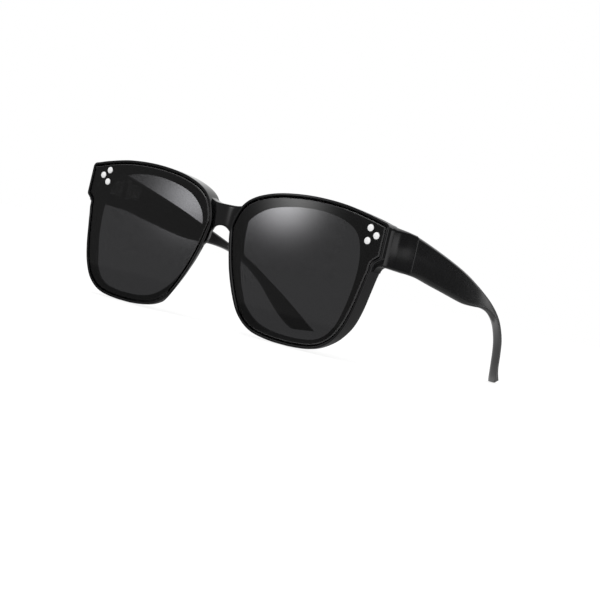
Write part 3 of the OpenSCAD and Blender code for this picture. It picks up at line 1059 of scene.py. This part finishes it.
        def section(u: float) -> Loop:
            """Draws the outline of the bridge at one place across it.

            Args:
                u: The place from side to side, -1 to 1.

            Returns:
                The outline's points.
            """
            front = round(self.bridge_recess + self.bridge_crown * u * u, 3)
            rear = self.bridge_recess + self.bridge_t
            ways = [(v, front + d) for v, d in self.BRIDGE_FRONT]
            ways += [(v, rear - d) for v, d in self.BRIDGE_REAR]
            ways += [(0.0, (front + rear) / 2)] + [(v, front + d) for v, d in self.BRIDGE_FOOT]
            return [point(u, v, round(depth, 3)) for v, depth in ways]

        sections = [section(-1.0 + 2 * i / self.bridge_steps) for i in range(self.bridge_steps + 1)]
        return LoopModel("bridge", sections[0]).grow(*sections[1:]).capped().done()

    def end_piece(self) -> Object:
        """Builds the block that carries a temple, in sections from the rim back to the joint.

        Returns:
            The block on the wearer's left.
        """
        s, last = self.shape, self.joint_y
        y0 = s.front_y(s.x1) + s.lens_t
        run = last - y0
        inner = s.x1 + self.end_swell - self.end_t
        outer = curve([(y0, s.x1 - self.end_root),
                            *((y0 + y * run, s.x1 + x * self.end_swell) for y, x in self.END_OUTER),
                            (last, s.x1 + self.end_swell)], self.end_curve_steps)
        within = [(y0 + y, inner - x) for y, x in self.END_INNER] + [(last, inner)]

        def section(y: float, less: float = 0.0) -> Loop:
            """Draws the rounded outline at a distance back.

            Args:
                y: The distance.
                less: Edge break that makes the outline smaller.

            Returns:
                The outline's points.
            """
            gone = y - y0
            high = s.z1 - s.brow_fall - gone * math.tan(math.radians(self.end_top_fall)) - less
            low = self.end_low - gone * math.tan(math.radians(self.end_low_fall)) + less
            far, near = lookup(outer, y) - less, lookup(within, y) + less
            least = self.end_round_least
            shrink = (self.end_round - least) * max(0.0, gone - self.shrink_start) / self.shrink_run
            rounds = (least, max(least, self.end_round - shrink), self.end_inner_round, self.end_inner_round)
            path = [Vector((far, low)), Vector((far, high)), Vector((near, high)), Vector((near, low))]
            loop = []
            for i, radius in enumerate(rounds):
                loop += corner(path[i - 1], path[i], path[(i + 1) % 4], radius, self.end_steps)
            return [Vector((p.x, y, p.y)) for p in loop]

        start, less = self.END_START
        model = LoopModel("end_piece", section(y0 + start, less))
        model.grow(*(section(y0 + y) for y in self.END_NEAR), *map(section, self.END_FAR))
        return model.grow(*(section(last - y, less) for y, less in self.END_EDGE)).capped().done()

    def fillet(self) -> Object:
        """Builds the round between an end piece's underside and the rim.

        Returns:
            The round, with enough behind it to grow into both.
        """
        s, low, radius = self.shape, self.end_low, self.fillet_r
        x, wall = s.notch_x - self.fillet_in, s.notch_x + radius
        arc = [(wall - radius * math.sin(math.radians(a)), low - radius + radius * math.cos(math.radians(a)))
               for a in range(0, 91, 10)]
        outline = [(x, low + self.fillet_over), (wall, low + self.fillet_over), *arc, (x, low - radius)]
        rear = s.back_y(s.notch_x, self.fillet_rear_z) - self.fillet_short
        near = [Vector((x, s.front_y(x) + self.fillet_front, z)) for x, z in outline]
        return LoopModel("fillet", near).grow([Vector((x, rear, z)) for x, z in outline]).capped().done()

    def build(self) -> Object:
        """Builds the whole moulding, with its hinge pockets and stud holes.

        Returns:
            The moulding.
        """
        half = self.ring()
        for extra in (self.end_piece(), self.fillet()):
            half = combined(half, extra, Change.ADDS)
        half = combined(half, HingePocket(Leaf.FRONT).build(), Change.CUTS)
        other = mirrored(half)
        whole = combined(half, self.bridge(), Change.ADDS)
        whole = combined(whole, other, Change.ADDS)
        for side in Side:
            whole = combined(whole, stud_tools(self.shape, side, self.stud_hole_r, self.stud_hole_depth),
                             Change.CUTS)
        whole.name = "front_moulding"
        return modified(smooth(whole, self.sharp), "WEIGHTED_NORMAL", keep_sharp=True)


@dataclass(frozen=True)
class HingePocket:
    """The room for a hinge's knuckles and one of its leaves, on the wearer's left."""

    leaf: Leaf
    radius: float = 1.8
    height: float = 9.3
    leaf_run: float = 9.42

    PIN = (71.0, 21.6, 16.95)
    SLOT_X = (70.0, 72.5)
    SLOT_Z = (13.4, 19.8)
    # The slot in the end piece for the knuckles' roots
    ROOT = ((70.3, 18.6, 12.52), (72.5, 21.9, 20.6))

    def build(self) -> Object:
        """Makes the tool that cuts the room.

        Returns:
            The tool.
        """
        deselect()
        bpy.ops.mesh.primitive_cylinder_add(vertices=TOOL_SIDES, radius=self.radius * MM,
                                            depth=self.height * MM, location=placed(*self.PIN))
        pocket = bpy.context.object
        near, far = sorted((self.PIN[1], self.PIN[1] + self.leaf.value * self.leaf_run))
        slots = [((self.SLOT_X[0], near, self.SLOT_Z[0]), (self.SLOT_X[1], far, self.SLOT_Z[1]))]
        if self.leaf is Leaf.FRONT:
            slots.append(self.ROOT)
        for low, high in slots:
            pocket = combined(pocket, block(low, high), Change.ADDS)
        return pocket


def stud_tools(shape: FrontShape, side: Side, radius: float, depth: float) -> Object:
    """Makes round cutting tools at one side's studs.

    Args:
        shape: The front's sizes.
        side: The wearer's side.
        radius: The tools' radius.
        depth: How far they reach behind the lens's face.

    Returns:
        The tools as one object.
    """
    tools = []
    for p in shape.stud_places(side):
        deselect()
        bpy.ops.mesh.primitive_cylinder_add(
            vertices=TOOL_SIDES, radius=radius * MM, depth=(depth + TOOL_START) * MM,
            location=placed(p.x, p.y + (depth - TOOL_START) / 2, p.z), rotation=(math.pi / 2, 0, 0))
        tools.append(bpy.context.object)
    return joined("stud_tools", *tools)


@dataclass(frozen=True)
class LensPanel:
    """One tinted panel, flush with the lip round it, with a polished bevel at its edge."""

    shape: FrontShape
    side: Side
    inset: float = 1.08
    bevel: float = 0.85
    edge_round: float = 0.04
    rear_break: float = 0.15
    rear_clear: float = 0.02
    face_break: float = 0.06
    face_depth: float = 0.05
    seat_r: float = 1.62
    seat_depth: float = 0.3
    sharp: float = 25.0

    # Shares of the way out from the panel's middle at which its flat faces have loops
    SHARES = (0.12, 0.3, 0.5, 0.7, 0.86, 0.95)
    FACE_SHARES = (0.985, *SHARES[::-1])

    def _inner(self, inset: float, depth: float, share: float) -> Loop:
        """Draws the panel's outline, smaller.

        Args:
            inset: Distance in from the rim's outline.
            depth: Depth behind the curved front.
            share: Share of its size that the outline keeps about the lens's middle.

        Returns:
            The outline's points.
        """
        s = self.shape
        loop = []
        for p in s.loop(inset, depth):
            x = s.middle.x + (p.x - s.middle.x) * share
            loop.append(Vector((x, s.front_y(x) + depth, s.middle.y + (p.z - s.middle.y) * share)))
        return loop

    def build(self) -> Object:
        """Builds the panel with its bevel and the studs' seats.

        Returns:
            The panel.
        """
        s, inset, bevel, bend = self.shape, self.inset, self.bevel, self.edge_round
        rear, face = s.lens_t - self.rear_clear, inset + bevel + bend
        model = LoopModel("panel", self._inner(inset, rear, self.SHARES[0]))
        model.grow(*(self._inner(inset, rear, share) for share in self.SHARES[1:]))
        model.grow(s.loop(inset + self.rear_break, rear), s.loop(inset, rear - self.rear_break),
                   s.loop(inset, bevel + bend), s.loop(inset + bend, bevel - bend),
                   s.loop(inset + bevel - self.face_break, self.face_depth), s.loop(face, 0.0))
        model.grow(*(self._inner(face, 0.0, share) for share in self.FACE_SHARES))
        panel = on_side(self.side, model.capped().done())
        panel = combined(panel, stud_tools(s, self.side, self.seat_r, self.seat_depth), Change.CUTS)
        panel.name = "lens_panel_" + self.side.name.lower()
        return smooth(panel, self.sharp)


@dataclass(frozen=True)
class CornerStuds:
    """Three domed metal studs at one outer corner."""

    shape: FrontShape
    side: Side
    radius: float = 1.32
    height: float = 0.45
    seat: float = 0.3
    shank_r: float = 0.48
    shank_end: float = 3.38
    sunk: float = 0.02
    foot_break: float = 0.06
    edge_round: float = 0.04
    sides: int = 32
    sharp: float = 38.0

    # Shares of the radius at which the dome has rings
    DOME = (0.985, 0.9, 0.78, 0.64, 0.48, 0.32, 0.16)

    def build(self) -> Object:
        """Builds the three studs, each as rings from the end of its shank to its dome.

        Returns:
            The studs as one object.
        """
        radius, dome_r = self.radius, (self.radius ** 2 + self.height ** 2) / (2 * self.height)
        under = self.seat + self.sunk
        profile = [(self.shank_r, self.shank_end), (self.shank_r, under), (radius - self.foot_break, under),
                   (radius, self.seat - self.edge_round), (radius, self.edge_round)]
        profile += [(radius * k, dome_r - self.height - math.sqrt(dome_r ** 2 - (radius * k) ** 2))
                    for k in self.DOME]
        turns = [math.tau * k / self.sides for k in range(self.sides)]
        studs = []
        for p in self.shape.stud_places(self.side):
            rings = [[Vector((p.x + r * math.cos(t), p.y + y, p.z + r * math.sin(t))) for t in turns]
                     for r, y in profile]
            studs.append(LoopModel("stud", rings[0]).grow(*rings[1:]).capped().done())
        return smooth(joined("corner_studs_" + self.side.name.lower() + "_domes", *studs), self.sharp)


@dataclass(frozen=True)
class Temple:
    """One temple: a deep flat arm that narrows, drops behind the ear and turns in."""

    side: Side
    length: float = 131.6
    joint_y: float = 21.75
    thick: float = 4.2
    tail_thick: float = 3.6
    tail_share: float = 0.55
    edge_r: float = 1.3
    mid_x: float = 74.3
    steps: int = 6
    sharp: float = 32.0

    # The upper and lower edges, as shares of the length and heights
    TOP = ((0.0, 23.3), (0.061, 21.9), (0.136, 20.0), (0.212, 17.95), (0.288, 15.75), (0.348, 13.8),
           (0.401, 11.85), (0.454, 9.85), (0.507, 7.8), (0.56, 5.6), (0.613, 3.2), (0.665, 0.4),
           (0.716, -2.9), (0.767, -6.7), (0.82, -10.9), (0.872, -15.5), (0.923, -20.3), (0.966, -24.2),
           (1.0, -26.9))
    LOW = ((0.0, 8.43), (0.062, 7.97), (0.138, 6.5), (0.214, 5.15), (0.290, 3.8), (0.347, 2.9),
           (0.389, 2.62), (0.433, 2.65), (0.479, 2.75), (0.527, 2.4), (0.575, 1.5), (0.623, -0.15),
           (0.669, -2.6), (0.714, -6.0), (0.758, -10.3), (0.797, -15.3), (0.836, -20.5), (0.876, -25.0),
           (0.912, -27.95))
    # The arm's middle from above, as shares of the length and distances out
    PLAN = ((0.0, 0.0), (0.14, 0.5), (0.28, 0.5), (0.40, -0.35), (0.48, -1.4), (0.556, -2.9), (0.632, -5.0),
            (0.708, -7.6), (0.784, -10.9), (0.86, -15.2), (0.93, -19.4), (1.0, -22.6))
    # Angles of a rounded corner's points in degrees
    ROUND = (0.0, 22.5, 45.0, 67.5, 90.0)
    # Edge breaks at both ends, with their shares of the way along the first and the last stretch
    FIRST = ((0.0, 0.24), (0.06, 0.07), (0.2, 0.0))
    LAST = ((0.6, 0.0), (0.85, 0.12), (1.0, 0.45))

    def _section(self, top: Point, low: Point, share: float, less: float) -> Loop:
        """Draws the rounded section between an upper and a lower point.

        Args:
            top: Share of the length and height of the upper edge.
            low: The same of the lower edge.
            share: How far along the arm the section is.
            less: Edge break that makes the section smaller.

        Returns:
            The section's points.
        """
        plan = curve(self.PLAN, self.steps)
        high, deep = Vector((self.length * top[0], top[1])), Vector((self.length * low[0], low[1]))
        height = (high - deep).length
        thick = self.thick + (self.tail_thick - self.thick) * min(1.0, share / self.tail_share)
        loop = []
        for side, end in ((1, 1), (-1, 1), (-1, -1), (1, -1)):
            for angle in self.ROUND:
                turn = math.radians(angle if side * end > 0 else 90 - angle)
                out = side * (thick / 2 - self.edge_r + (self.edge_r - less) * math.cos(turn))
                up = end * (height / 2 - self.edge_r + (self.edge_r - less) * math.sin(turn))
                spot = deep.lerp(high, 0.5 + up / height)
                loop.append(Vector((self.mid_x + lookup(plan, spot.x / self.length) + out,
                                    self.joint_y + spot.x, spot.y)))
        return loop

    def build(self) -> Object:
        """Builds the arm with its hinge pocket.

        Returns:
            The arm.
        """
        tops, lows = curve(self.TOP, self.steps), curve(self.LOW, self.steps)
        last = len(tops) - 1

        def between(i: int, share: float, less: float = 0.0) -> Loop:
            """Returns the section at a share of the way from point i to the next, less an edge break."""
            pair = [tuple(a + (b - a) * share for a, b in zip(line[i], line[i + 1])) for line in (tops, lows)]
            return self._section(*pair, (i + share) / last, less)

        loops = [between(0, *ends) for ends in self.FIRST] + [between(i, 0.0) for i in range(1, last)]
        loops += [between(last - 1, *ends) for ends in self.LAST]
        arm = LoopModel("arm", loops[0]).grow(*loops[1:]).capped().done()
        arm = on_side(self.side, combined(arm, HingePocket(Leaf.TEMPLE).build(), Change.CUTS))
        arm.name = "temple_arm_" + self.side.name.lower()
        return smooth(arm, self.sharp)


@dataclass(frozen=True)
class Hinge:
    """One hinge: two leaves, the pin that joins them and the small screws that hold the leaves."""

    side: Side
    leaf_break: float = 0.12
    pin_break: float = 0.06
    screw_break: float = 0.05
    flat: float = 0.5
    broken: float = 45.0
    sharp: float = 35.0

    def build(self, metal: Material, screw: Material) -> None:
        """Makes each piece from its solid, with the solid's sharp edges broken.

        Args:
            metal: The leaves' finish.
            screw: The finish of the pin and the screws.
        """
        name = self.side.name.lower()
        arm = name + "_arm"
        for node, body, finish, width in (
                (f"front_hinge_leaf_{name}", "front", metal, self.leaf_break),
                (f"temple_hinge_leaf_{name}", arm, metal, self.leaf_break),
                (f"hinge_screw_{name}", "front", screw, self.pin_break),
                (f"front_leaf_screws_{name}", "front", screw, self.screw_break),
                (f"temple_leaf_screws_{name}", arm, screw, self.screw_break)):
            deselect()
            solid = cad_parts[node]
            piece = bpy.data.objects.new(node + "_part", solid.data.copy())
            bpy.context.scene.collection.objects.link(piece)
            piece.data.materials.clear()
            with editing(piece):
                bpy.ops.mesh.remove_doubles(threshold=1e-6)
                bpy.ops.mesh.dissolve_limited(angle_limit=math.radians(self.flat))
            modified(piece, "BEVEL", width=width * MM, segments=2, limit_method="ANGLE",
                     angle_limit=math.radians(self.broken), use_clamp_overlap=True, harden_normals=False)
            dress(smooth(piece, self.sharp), finish, body, "hinges", node)


# The studio

WHITE = (1, 1, 1, 1)


def grey(level: float) -> tuple[float, float, float, float]:
    """Returns a grey's linear colour."""
    return level, level, level, 1.0


def seen(tree: NodeTree) -> NodeSocket:
    """Tells what is looked at from what only lights.

    Args:
        tree: The material's or world's node tree.

    Returns:
        A value that is 1 in the view, in mirror images and through the lenses, and 0 for light.
    """
    path = add_node(tree, "LightPath")
    shown = path.outputs["Is Camera Ray"]
    for kind in ("Is Glossy Ray", "Is Transmission Ray"):
        shown = add_node(tree, "Math", {0: shown, 1: path.outputs[kind]}, operation="MAXIMUM").outputs[0]
    return shown


def facing(place: Sequence[float], aim: Sequence[float], front: str) -> Euler:
    """Returns the turn that points an object's axis, front, from its place towards an aim."""
    return (Vector(aim) - Vector(place)).to_track_quat(front, "Y").to_euler()


@dataclass(frozen=True)
class Card:
    """A flat card: its middle, the point that it faces, and its width and height, all in metres."""

    name: str
    place: Sequence[float]
    aim: Sequence[float]
    size: Point

    def shader(self, tree: NodeTree) -> Node:
        """Adds the card's light to a tree and returns its shader."""
        raise NotImplementedError

    def stand(self, behind: bool = False) -> None:
        """Stands the card, which shows in mirror images alone, or through the lenses alone.

        Args:
            behind: True for a card seen through the lenses.
        """
        deselect()
        bpy.ops.mesh.primitive_plane_add(size=1, location=(0, 0, 0))
        card = bpy.context.object
        card.name = self.name
        card.location = self.place
        card.rotation_euler = facing(self.place, self.aim, "Z")
        card.scale = (*self.size, 1)
        card.data.materials.append(painted(self.name + "_light", self.shader))
        card.visible_camera = card.visible_diffuse = card.visible_shadow = card.visible_volume_scatter = False
        card.visible_glossy, card.visible_transmission = not behind, behind


@dataclass(frozen=True)
class Flag(Card):
    """A plain card: its level, where the surround's is 1, and the share at its edges that fades."""

    level: float
    soft: float = 0.0

    def shader(self, tree: NodeTree) -> Node:
        """Adds the card's light, faded to a clear sheet at its edges.

        Args:
            tree: The material's node tree.

        Returns:
            The shader.
        """
        dim = add_node(tree, "Emission", {"Color": WHITE, "Strength": self.level})
        if not self.soft:
            return dim
        place = add_node(tree, "TexCoord").outputs["Object"]
        away = add_node(tree, "VectorMath", {0: place}, operation="ABSOLUTE").outputs[0]
        axes = add_node(tree, "SeparateXYZ", {"Vector": away})
        across, up = (add_node(tree, "MapRange", {
            "Value": axes.outputs[axis], "From Min": 0.5 - self.soft, "From Max": 0.5, "To Min": 1.0,
            "To Max": 0.0}, interpolation_type="SMOOTHSTEP").outputs["Result"] for axis in ("X", "Y"))
        share = add_node(tree, "Math", {0: across, 1: up}, operation="MULTIPLY").outputs[0]
        clear = add_node(tree, "BsdfTransparent", {"Color": WHITE})
        return add_node(tree, "MixShader", {0: share, 1: clear.outputs[0], 2: dim.outputs[0]})


@dataclass(frozen=True)
class Glow(Card):
    """A clear card with a soft round light on it, which falls off from its peak as a bell curve."""

    peak: float

    SPREADS = 7

    def shader(self, tree: NodeTree) -> Node:
        """Adds the bell curve's light over a clear sheet.

        Args:
            tree: The material's node tree.

        Returns:
            The shader.
        """
        place = add_node(tree, "TexCoord").outputs["Object"]
        scaled = add_node(tree, "VectorMath", {0: place, 1: (self.SPREADS, self.SPREADS, 0)},
                          operation="MULTIPLY").outputs[0]
        square = add_node(tree, "VectorMath", {0: scaled, 1: scaled}, operation="DOT_PRODUCT").outputs[1]
        half = add_node(tree, "Math", {0: square, 1: -0.5}, operation="MULTIPLY").outputs[0]
        bell = add_node(tree, "Math", {0: half}, operation="EXPONENT").outputs[0]
        bright = add_node(tree, "Math", {0: bell, 1: self.peak}, operation="MULTIPLY").outputs[0]
        shine = add_node(tree, "Emission", {"Color": WHITE, "Strength": bright})
        clear = add_node(tree, "BsdfTransparent", {"Color": WHITE})
        return add_node(tree, "AddShader", {0: clear.outputs[0], 1: shine.outputs[0]})


@dataclass(frozen=True)
class PhotoCamera:
    """The camera that the outlines of both rims and both temples gave, with its place in metres."""

    place: Spot = (0.385622, -0.553364, 0.029777)
    degrees: Spot = (88.8117, -13.4088, 35.7851)
    lens: float = 94.1275
    film: float = 36.0
    pixels: int = 600
    clip: float = 20.0

    def build(self) -> None:
        """Adds the camera to the scene."""
        data = bpy.data.cameras.new("photo_camera")
        data.lens, data.sensor_width, data.clip_end = self.lens, self.film, self.clip
        camera = bpy.data.objects.new("photo_camera", data)
        bpy.context.scene.collection.objects.link(camera)
        camera.location = self.place
        camera.rotation_euler = [math.radians(a) for a in self.degrees]
        bpy.context.scene.camera = camera

    def ray(self, u: float, v: float) -> Vector:
        """Returns the direction through a spot of the frame, in pixels from its top left, one unit deep."""
        turn = bpy.context.scene.camera.rotation_euler.to_matrix()
        scale, middle = self.film / self.lens / self.pixels, self.pixels / 2
        return turn @ Vector(((u - middle) * scale, (middle - v) * scale, -1.0))

    def beyond(self, u: float, v: float, depth: float) -> Vector:
        """Returns the point at a depth from the camera that a spot of the frame shows."""
        return bpy.context.scene.camera.location + self.ray(u, v) * depth

    def mirrored_at(self, u: float, v: float, away: float) -> tuple[Vector, Vector]:
        """Finds what the front's face mirrors to a spot of the frame.

        Args:
            u: The spot's distance from the frame's left side.
            v: Its distance from the top.
            away: Distance of what is mirrored from the front's face, in metres.

        Returns:
            The mirrored point, and the point of the face that mirrors it.
        """
        eye, way, shape = bpy.context.scene.camera.location, self.ray(u, v), FrontShape()
        spot = eye.copy()
        for _ in range(4):
            y = placed(0, shape.front_y(spot.x / MM), 0).y
            spot = eye + way * ((y - eye.y) / way.y)
        normal = (spot - Vector((0, placed(0, shape.front_r, 0).y, spot.z))).normalized()
        way = way.normalized()
        return spot + (way - 2 * way.dot(normal) * normal) * away, spot


@dataclass(frozen=True)
class Studio:
    """A plain pale floor and background, one soft lamp, and the cards that shape the reflections."""

    level: float = 0.85
    floor_z: float = -0.0002
    floor_size: float = 8.0
    paper_glow: float = 0.78
    paper_shade: float = 0.3
    paper_plain: float = 0.8
    lamp_place: Spot = (0.2, -0.3, 1.4)
    lamp_aim: Spot = (0, 0, 0.03)
    lamp_size: Point = (1.6, 1.2)
    lamp_watts: float = 6.0
    window_away: float = 0.35
    back_glow_depth: float = 1.1
    front_glow_away: float = 1.0

    # Pixels of the photo where the soft lights show
    LEFT_GLOW_PIXEL = (282, 200)
    RIGHT_GLOW_PIXEL = (195, 199)
    FRONT_GLOW_PIXEL = (298, 192)
    # Large dark cards that the lenses, the left side and its rear edges mirror
    TALL_FLAGS = (
        Flag("front_flag", (-0.9, -1.35, 0.0), (0, -0.07, 0.03), (1.8, 1.8), 0.24, 0.12),
        Flag("side_flag", (1.0, 1.35, -0.3), (0.07, 0, 0.03), (1.5, 2.3), 0.08, 0.12),
        Flag("rear_flag", (-0.3, 1.5, -0.35), (0.06, 0, 0.03), (1.5, 1.9), 0.2, 0.12))
    # Dark cards on the floor, and one low behind the wearer's left
    LOW_FLAGS = (
        Flag("floor_flag", (-0.17, -0.19, 0.0003), (-0.17, -0.19, 1), (0.44, 0.44), 0.16, 0.2),
        Flag("near_floor_flag", (0.18, -0.02, 0.0003), (0.18, -0.02, 1), (0.34, 0.12), 0.25, 0.15),
        Flag("side_flag_low", (0.93, 1.25, -0.55), (0.07, 0, 0.03), (1.5, 1.1), 0.22, 0.15))
    # Cards that the left end piece mirrors: name, spot of the piece in the shared frame's millimetres,
    # the mirrored direction's turn and rise in degrees, size in metres and level
    WINDOWS = (
        ("side_window_low", (76.0, -68.5, 45.0), 50.0, 1.3, (0.086, 0.006), 0.75),
        ("side_window_rear", (76.2, -64.5, 44.9), 37.8, 1.2, (0.064, 0.007), 0.4),
        ("side_window_high", (75.6, -70.0, 49.0), 48.0, 1.8, (0.05, 0.012), 0.8),
        ("side_flag_high", (75.8, -67.7, 50.9), 52.0, 32.0, (0.2, 0.22), 0.1))

    def world(self) -> None:
        """Sets a plain white surround, dimmer as a light than it looks."""
        world = bpy.data.worlds.new("plain_surround")
        world.use_nodes = True
        bpy.context.scene.world = world
        tree = world.node_tree
        tree.nodes.clear()
        strength = add_node(tree, "MapRange", {"Value": seen(tree), "To Min": self.level, "To Max": 1.0})
        light = add_node(tree, "Background", {"Color": WHITE, "Strength": strength.outputs["Result"]})
        tree.links.new(light.outputs[0], add_node(tree, "OutputWorld").inputs["Surface"])

    def paper(self, tree: NodeTree) -> Node:
        """Adds paper that is plain as a light and looks white, but for the shadows on it.

        Args:
            tree: The material's node tree.

        Returns:
            The shader.
        """
        shaded = add_node(tree, "BsdfDiffuse", {"Color": grey(self.paper_shade)})
        glow = add_node(tree, "Emission", {"Color": WHITE, "Strength": self.paper_glow})
        both = add_node(tree, "AddShader", {0: shaded.outputs[0], 1: glow.outputs[0]})
        plain = add_node(tree, "BsdfDiffuse", {"Color": grey(self.paper_plain)})
        return add_node(tree, "MixShader", {0: seen(tree), 1: plain.outputs[0], 2: both.outputs[0]})

    def floor(self) -> None:
        """Lays a white floor that keeps the object's soft shadow."""
        deselect()
        bpy.ops.mesh.primitive_plane_add(size=self.floor_size, location=(0, 0, self.floor_z))
        floor = bpy.context.object
        floor.name = "floor"
        floor.data.materials.append(painted("white_paper_floor", self.paper))
        floor.visible_glossy = floor.visible_transmission = False

    def lamp(self) -> None:
        """Hangs one large soft lamp over the object."""
        data = bpy.data.lights.new("overhead_softbox", "AREA")
        data.shape, data.size, data.size_y, data.energy = "RECTANGLE", *self.lamp_size, self.lamp_watts
        lamp = bpy.data.objects.new("overhead_softbox", data)
        bpy.context.scene.collection.objects.link(lamp)
        lamp.location = self.lamp_place
        lamp.rotation_euler = facing(self.lamp_place, self.lamp_aim, "-Z")

    def glows(self, camera: PhotoCamera) -> None:
        """Stands the soft lights that show through both lenses, and the one that the left lens mirrors.

        Args:
            camera: The camera that the lights are placed for.
        """
        eye = bpy.context.scene.camera.location
        for name, pixel, size, peak in (("back_glow_left", self.LEFT_GLOW_PIXEL, (0.0966, 0.0966), 14.0),
                                        ("back_glow_right", self.RIGHT_GLOW_PIXEL, (0.1085, 0.0966), 11.0)):
            Glow(name, camera.beyond(*pixel, self.back_glow_depth), eye, size, peak).stand(behind=True)
        mirrored_spot = camera.mirrored_at(*self.FRONT_GLOW_PIXEL, self.front_glow_away)
        Glow("front_glow_left", *mirrored_spot, (0.217, 0.154), 3.6).stand()

    def windows(self) -> None:
        """Stands each window where its spot of the end piece mirrors it."""
        for name, spot, turn, rise, size, level in self.WINDOWS:
            start, turn, rise = Vector(spot) * MM, math.radians(turn), math.radians(rise)
            way = Vector((math.sin(turn) * math.cos(rise), math.cos(turn) * math.cos(rise), math.sin(rise)))
            Flag(name, start + self.window_away * way, start, size, level).stand()

    def build(self) -> None:
        """Sets up the camera, surround, floor, lamp and cards."""
        camera = PhotoCamera()
        camera.build()
        self.world()
        self.floor()
        bpy.context.scene.view_settings.view_transform = "Standard"
        self.lamp()
        self.glows(camera)
        for flag in self.TALL_FLAGS:
            flag.stand()
        self.windows()
        for flag in self.LOW_FLAGS:
            flag.stand()


def main() -> None:
    """Builds the studio and every piece, and logs each piece's face count."""
    Studio().build()
    shape = FrontShape()
    # Black nylon or polycarbonate, injected into a polished steel mould; the front is the glossier
    plastic = PolishedPlastic("black_moulded_plastic", "0a0a0b", (0.06, 0.1), "111112").build()
    # The same plastic on the temples, whose long flat sides come a little duller from the mould
    arm_plastic = PolishedPlastic("black_temple_plastic", "0b0b0c", (0.16, 0.21), "121213").build()
    # Grey polarised lens sheet: a film between two skins, dyed in the mass, pressed to shape and cut out
    tint = TintedPanel("grey_polarised_sheet", "2c2c2d", (0.0, 0.03)).build()
    # Small rivets headed from wire; their domes' white base colour is a painted reflection of the bright
    # white surround, standing in for their metal shine
    stud = BrightMetal("stud_metal_painted_white_reflection", "ffffff", (0.42, 0.52), 0.15, 0.08).build()
    # Steel or nickel silver hinge leaves, stamped, rolled round into knuckles and tumbled
    steel = BrightMetal("stamped_hinge_steel", "b9bab9", (0.25, 0.4), 0.25).build()
    # Stainless steel screws, turned on a small lathe
    screw = BrightMetal("turned_screw_steel", "c9c8c4", (0.2, 0.3), 0.15).build()
    dress(FrontFrame(shape).build(), plastic, "front", "frame", "front_frame")
    for side in Side:
        name = side.name.lower()
        dress(LensPanel(shape, side).build(), tint, "front", "lens", f"lens_{name}")
        dress(CornerStuds(shape, side).build(), stud, "front", "studs", f"corner_studs_{name}")
        dress(Temple(side).build(), arm_plastic, f"{name}_arm", "frame", f"temple_{name}")
        Hinge(side).build(steel, screw)
    deselect()


if __name__ == "__main__":
    main()
